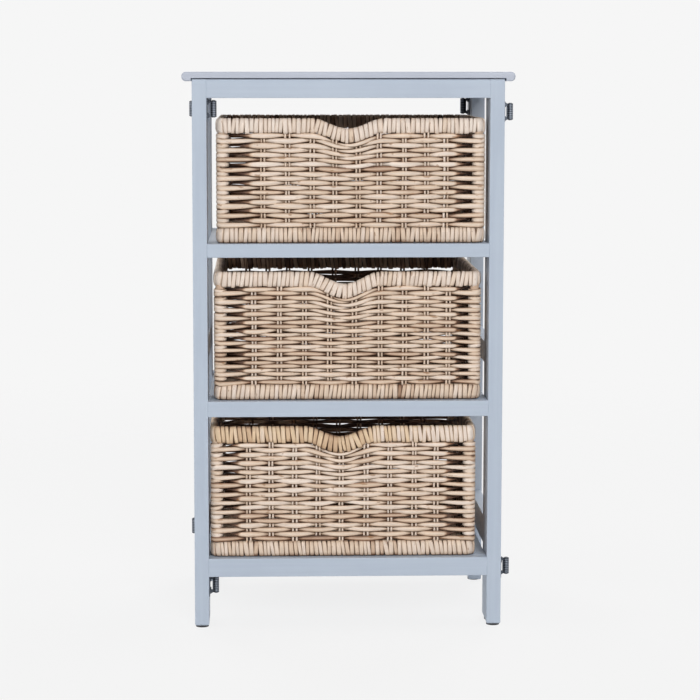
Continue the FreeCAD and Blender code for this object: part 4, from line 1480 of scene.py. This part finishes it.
@dataclass
class HingeWashers:
    """Washers between every hinge's knuckles, ridges on the barrels whose bright zinc is a painted highlight."""

    knuckles: int = 9
    knuckle_pitch: float = 2.5 * MM
    barrel_radius: float = 4.0 * MM
    leaf_high: float = 29.0 * MM
    proud: float = 0.2 * MM
    thick: float = 1.1 * MM
    steps: int = 24
    sides: int = 6
    tone: float = 0.5

    def centres(self) -> np.ndarray:
        """The washers' centres: two barrels at each corner, placed from the boxes of the legs' hinge leaves.

        Returns:
            The centres, one row each.
        """
        step = (np.arange(1, self.knuckles) - self.knuckles / 2.0) * self.knuckle_pitch
        places = []
        for corner in Corner:
            name, end = corner.value
            low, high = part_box(f"{name}_hinge_leg_leaves")
            near = high if end > 0 else low
            axis = np.array([near.x, near.y]) - end * self.barrel_radius
            for middle in (low.z + self.leaf_high / 2.0, high.z - self.leaf_high / 2.0):
                places.append(raised(axis, middle + step))
        return np.concatenate(places)

    def build(self, body: str, material: bpy.types.Material) -> bpy.types.Object:
        """Carries a small round section round each washer's circle and sets the piece on its body.

        Args:
            body: the body that the hinges are on.
            material: the washers' finish.

        Returns:
            The piece.
        """
        bundle = StrandBundle()
        _, out = circle(self.steps)
        centre = self.centres()[:, None] + (self.barrel_radius + self.proud - self.thick / 2.0) * out
        rings = oval_rings(centre, out, UP, self.thick, self.thick, self.sides)
        bundle.add(rings, True, closed_run(centre), self.tone)
        piece = bundle.build("hinge_washers", material)
        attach(piece, body)
        return piece


@dataclass
class PaintedFrame:
    """The frame, shelves, tabletop, hinges and fittings, whose solids stay and are dressed in their finishes."""

    frame_paint: PaintFinish
    tabletop_paint: PaintFinish
    shelf_paint: PaintFinish
    steel: SteelFinish
    wood: BeechFinish
    plastic: GlideFinish

    def materials(self, groups: SharedGroups) -> dict[str, dict[Grain, bpy.types.Material]]:
        """Makes the finish of each slot, for each way that a board's grain may run.

        Args:
            groups: the shared node groups.

        Returns:
            The materials by slot and grain.
        """
        paints = {
            Slot.FRAME: self.frame_paint,
            Slot.TABLETOP: self.tabletop_paint,
            Slot.SHELF: self.shelf_paint,
        }
        plain = {Slot.HINGE: self.steel, Slot.BEECH: self.wood, Slot.GLIDE: self.plastic}
        made = {}
        for slot, paint in paints.items():
            made[slot.value] = {grain: paint.material(groups, grain) for grain in Grain}
        for slot, finish in plain.items():
            made[slot.value] = dict.fromkeys(Grain, finish.material(groups))
        return made

    def dress(self, groups: SharedGroups, nodes: dict[str, bpy.types.Object]) -> None:
        """Gives every solid that stays the finish of its slot, with the grain along its longest side.

        Args:
            groups: the shared node groups.
            nodes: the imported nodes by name.
        """
        made = self.materials(groups)
        for name, node in sorted(nodes.items()):
            slot = node.material_slots[0].material.name
            if slot not in made:
                continue
            low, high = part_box(name)
            grain = Grain(int(np.argmax(np.array(high - low))))
            for place in node.material_slots:
                place.material = made[slot][grain]
            LOG.info("dressed %s in %s", name, made[slot][grain].name)


@dataclass(frozen=True)
class SoftLamp:
    """A round lamp: its place, its diameter and its power in watts."""

    place: Place
    size: float
    power: float


@dataclass
class Studio:
    """The pale floor and background, the soft lamps and the camera."""

    eye: Place = (-0.121, -3.165, 0.774)
    turn_right: float = 1.7
    look_down: float = 6.15
    lens: float = 111.55
    sensor: float = 36.0
    shift: Span = (0.035, -0.0574)
    farthest: float = 100.0
    background: Colour = srgb(246, 246, 246)
    ambient: float = 0.04
    floor_colour: Colour = srgb(236, 236, 236)
    floor_radius: float = 2.6
    floor_rings: int = 12
    floor_steps: int = 96
    floor_fade: Span = (0.45, 0.97)
    floor_lift: float = 0.9
    lamp_aim: Place = (0.0, 0.0, 0.4)
    lamps: tuple[SoftLamp, ...] = (
        SoftLamp((0.5, -3.8, 2.2), 2.0, 103.0),
        SoftLamp((-2.0, -3.0, 1.6), 1.8, 24.0),
        SoftLamp((-2.6, -0.3, 2.4), 1.6, 26.0),
        SoftLamp((2.6, 0.3, 2.4), 1.6, 26.0),
        SoftLamp((1.4, 2.6, 3.0), 1.8, 48.0),
        SoftLamp((-1.4, 2.6, 3.0), 1.8, 48.0),
    )

    def camera(self) -> None:
        """Sets the camera at tabletop height, a little to the left, looking slightly down."""
        data = bpy.data.cameras.new("camera")
        data.sensor_width = self.sensor
        data.lens = self.lens
        data.shift_x, data.shift_y = self.shift
        data.clip_end = self.farthest
        camera = bpy.data.objects.new("camera", data)
        camera.location = self.eye
        camera.rotation_euler = (math.radians(90.0 - self.look_down), 0.0, -math.radians(self.turn_right))
        bpy.context.scene.collection.objects.link(camera)
        bpy.context.scene.camera = camera

    def seen_directly(self, sheet: NodeSheet) -> bpy.types.NodeSocket:
        """Tells the rays from the camera, off a glossy surface or through glass from the rest.

        Args:
            sheet: the sheet of the material or the world.

        Returns:
            The output, 1 for those rays and 0 for the rest.
        """
        path = sheet.add("LightPath").outputs
        shiny = sheet.math("MAXIMUM", path["Is Glossy Ray"], path["Is Transmission Ray"])
        return sheet.math("MAXIMUM", path["Is Camera Ray"], shiny)

    def world(self) -> None:
        """Soft light from all round, seen as a pale background."""
        world = bpy.data.worlds.new("studio")
        bpy.context.scene.world = world
        sheet = clear_sheet(world)
        light = sheet.add("Background", {"Color": (1.0, 1.0, 1.0, 1.0), "Strength": self.ambient})
        pale = sheet.add("Background", {"Color": self.background, "Strength": 1.0})
        both = sheet.add("MixShader", {0: self.seen_directly(sheet), 1: light.outputs[0], 2: pale.outputs[0]})
        sheet.add("OutputWorld", {"Surface": both.outputs[0]})

    def floor_mesh(self) -> bpy.types.Mesh:
        """A flat disc: rings of quads, one parameter outwards and one round, about a fan of triangles.

        Returns:
            The mesh.
        """
        steps = self.floor_steps
        _, out = circle(steps)
        reach = np.linspace(0.0, 1.0, self.floor_rings + 1)[1:] * self.floor_radius
        points = np.concatenate([np.zeros((1, 3)), (reach[:, None, None] * out).reshape(-1, 3)])
        ring, step = np.meshgrid(np.arange(self.floor_rings - 1), np.arange(steps), indexing="ij")
        first, ahead = ring * steps + step + 1, ring * steps + (step + 1) % steps + 1
        quads = np.stack([first, first + steps, ahead + steps, ahead], axis=-1).reshape(-1, 4)
        fan = np.stack([np.zeros(steps, int), first[0], ahead[0]], axis=-1)
        mesh = bpy.data.meshes.new("floor")
        mesh.from_pydata(points.tolist(), [], quads.tolist() + fan.tolist())
        return mesh

    def floor(self) -> None:
        """A round pale floor that keeps the chest's shadow and fades into the background at its rim."""
        material = bpy.data.materials.new("floor")
        sheet = clear_sheet(material)
        far = sheet.add("VectorMath", {0: sheet.object_place()}, operation="LENGTH").outputs["Value"]
        fade = sheet.span(far, tuple(share * self.floor_radius for share in self.floor_fade))
        matt = sheet.add("BsdfDiffuse", {"Color": self.floor_colour})
        pale = sheet.add("Emission", {"Color": self.background})
        lifted = sheet.math("MULTIPLY", self.seen_directly(sheet), self.floor_lift)
        shown = sheet.add("MixShader", {0: lifted, 1: matt.outputs[0], 2: pale.outputs[0]})
        clear = sheet.add("BsdfTransparent")
        both = sheet.add("MixShader", {0: fade, 1: shown.outputs[0], 2: clear.outputs[0]})
        sheet.add("OutputMaterial", {"Surface": both.outputs[0]})
        mesh = self.floor_mesh()
        mesh.materials.append(material)
        floor = bpy.data.objects.new("floor", mesh)
        bpy.context.scene.collection.objects.link(floor)

    def light(self) -> None:
        """Hangs the soft lamps, all aimed at the middle of the chest."""
        for number, soft in enumerate(self.lamps):
            data = bpy.data.lights.new(f"lamp_{number}", "AREA")
            data.shape = "DISK"
            data.size = soft.size
            data.energy = soft.power
            lamp = bpy.data.objects.new(f"lamp_{number}", data)
            lamp.location = soft.place
            lamp.rotation_mode = "QUATERNION"
            lamp.rotation_quaternion = (Vector(self.lamp_aim) - Vector(soft.place)).to_track_quat("-Z", "Y")
            bpy.context.scene.collection.objects.link(lamp)

    def build(self) -> None:
        """Sets up the whole studio."""
        bpy.context.scene.view_settings.view_transform = "Standard"
        self.camera()
        self.world()
        self.floor()
        self.light()


PALE_BLUE = srgb(184, 195, 209)
PALE_BLUE_SHADE = srgb(177, 188, 203)
TABLETOP_BLUE = srgb(186, 192, 205)
TABLETOP_SHADE = srgb(180, 186, 199)
RUBBED_BLUE = srgb(214, 220, 230)
# The washers' zinc, whose brightness is a painted highlight on the hinge barrels' ridges.
WASHER_HIGHLIGHT_ZINC = srgb(150, 157, 168)
WASHER_HIGHLIGHT_EDGE = srgb(190, 196, 204)
RATTAN_TONES = (
    (0.0, srgb(246, 232, 219)),
    (0.3, srgb(237, 218, 202)),
    (0.5, srgb(230, 207, 184)),
    (0.7, srgb(204, 175, 150)),
    (0.86, srgb(146, 110, 86)),
    (1.0, srgb(72, 48, 36)),
)
WARM_TONES = (
    (0.0, srgb(246, 232, 219)),
    (0.3, srgb(238, 219, 203)),
    (0.48, srgb(232, 205, 171)),
    (0.66, srgb(206, 173, 140)),
    (0.84, srgb(138, 103, 78)),
    (1.0, srgb(62, 42, 32)),
)
BORDER_SPOTS = 0.65


def make_baskets() -> tuple[WovenBasket, ...]:
    """The three baskets from the top down."""
    return (
        WovenBasket(
            Level.UPPER,
            rows=20,
            front_stakes=(-122.5, -88.1, -53.6, -22.3, 10.3, 39.4, 74.4, 105.3, 132.3),
            tone=0.29,
            rim_tone=0.17,
            rim_high=21.4 * MM,
            rim_slit=1.0 * MM,
            scoop_deep=14.0 * MM,
            lean=0.02,
            seed=11,
        ),
        WovenBasket(
            Level.MIDDLE,
            rows=24,
            front_stakes=(-131.2, -95.5, -60.5, -25.4, 9.3, 45.8, 79.7, 110.2, 141.0),
            tone=0.34,
            rim_tone=0.22,
            rim_high=21.6 * MM,
            rim_slit=3.0 * MM,
            scoop_deep=17.0 * MM,
            lean=0.1,
            seed=23,
        ),
        WovenBasket(
            Level.BOTTOM,
            rows=22,
            front_stakes=(-133.6, -101.7, -68.5, -35.4, -3.1, 32.4, 65.6, 100.2, 131.4),
            tone=0.28,
            rim_tone=0.44,
            rim_fade=0.22,
            rim_high=24.0 * MM,
            rim_slit=0.3 * MM,
            scoop_deep=14.5 * MM,
            lean=-0.08,
            dark_rows=(0,),
            seed=37,
        ),
    )


def main() -> None:
    """Builds the studio, dresses the frame, weaves the baskets and sets the hinges' washers."""
    Studio().build()
    groups = SharedGroups()
    PaintedFrame(
        frame_paint=PaintFinish("frame_satin", PALE_BLUE, PALE_BLUE_SHADE, RUBBED_BLUE),
        tabletop_paint=PaintFinish("tabletop_satin", TABLETOP_BLUE, TABLETOP_SHADE, RUBBED_BLUE),
        shelf_paint=PaintFinish("shelf_satin", PALE_BLUE, PALE_BLUE_SHADE, RUBBED_BLUE),
        steel=SteelFinish(),
        wood=BeechFinish(),
        plastic=GlideFinish(),
    ).dress(groups, frame["nodes"])
    weave = RattanFinish("peeled_rattan", RATTAN_TONES).material(groups)
    edging = RattanFinish("border_rattan", RATTAN_TONES, spot_level=BORDER_SPOTS).material(groups)
    warm = RattanFinish("warm_border_rattan", WARM_TONES, spot_level=BORDER_SPOTS).material(groups)
    for basket, rim in zip(make_baskets(), (edging, edging, warm)):
        for piece in basket.build(weave, rim, edging):
            LOG.info("wove %s with %d faces", piece.name, len(piece.data.polygons))
    # The washers are real ridges, and their bright zinc is a painted highlight on them.
    bright = SteelFinish("washer_highlight_zinc", WASHER_HIGHLIGHT_ZINC, WASHER_HIGHLIGHT_EDGE).material(groups)
    washers = HingeWashers().build("frame", bright)
    LOG.info("set %s with %d faces", washers.name, len(washers.data.polygons))


if __name__ == "__main__":
    main()
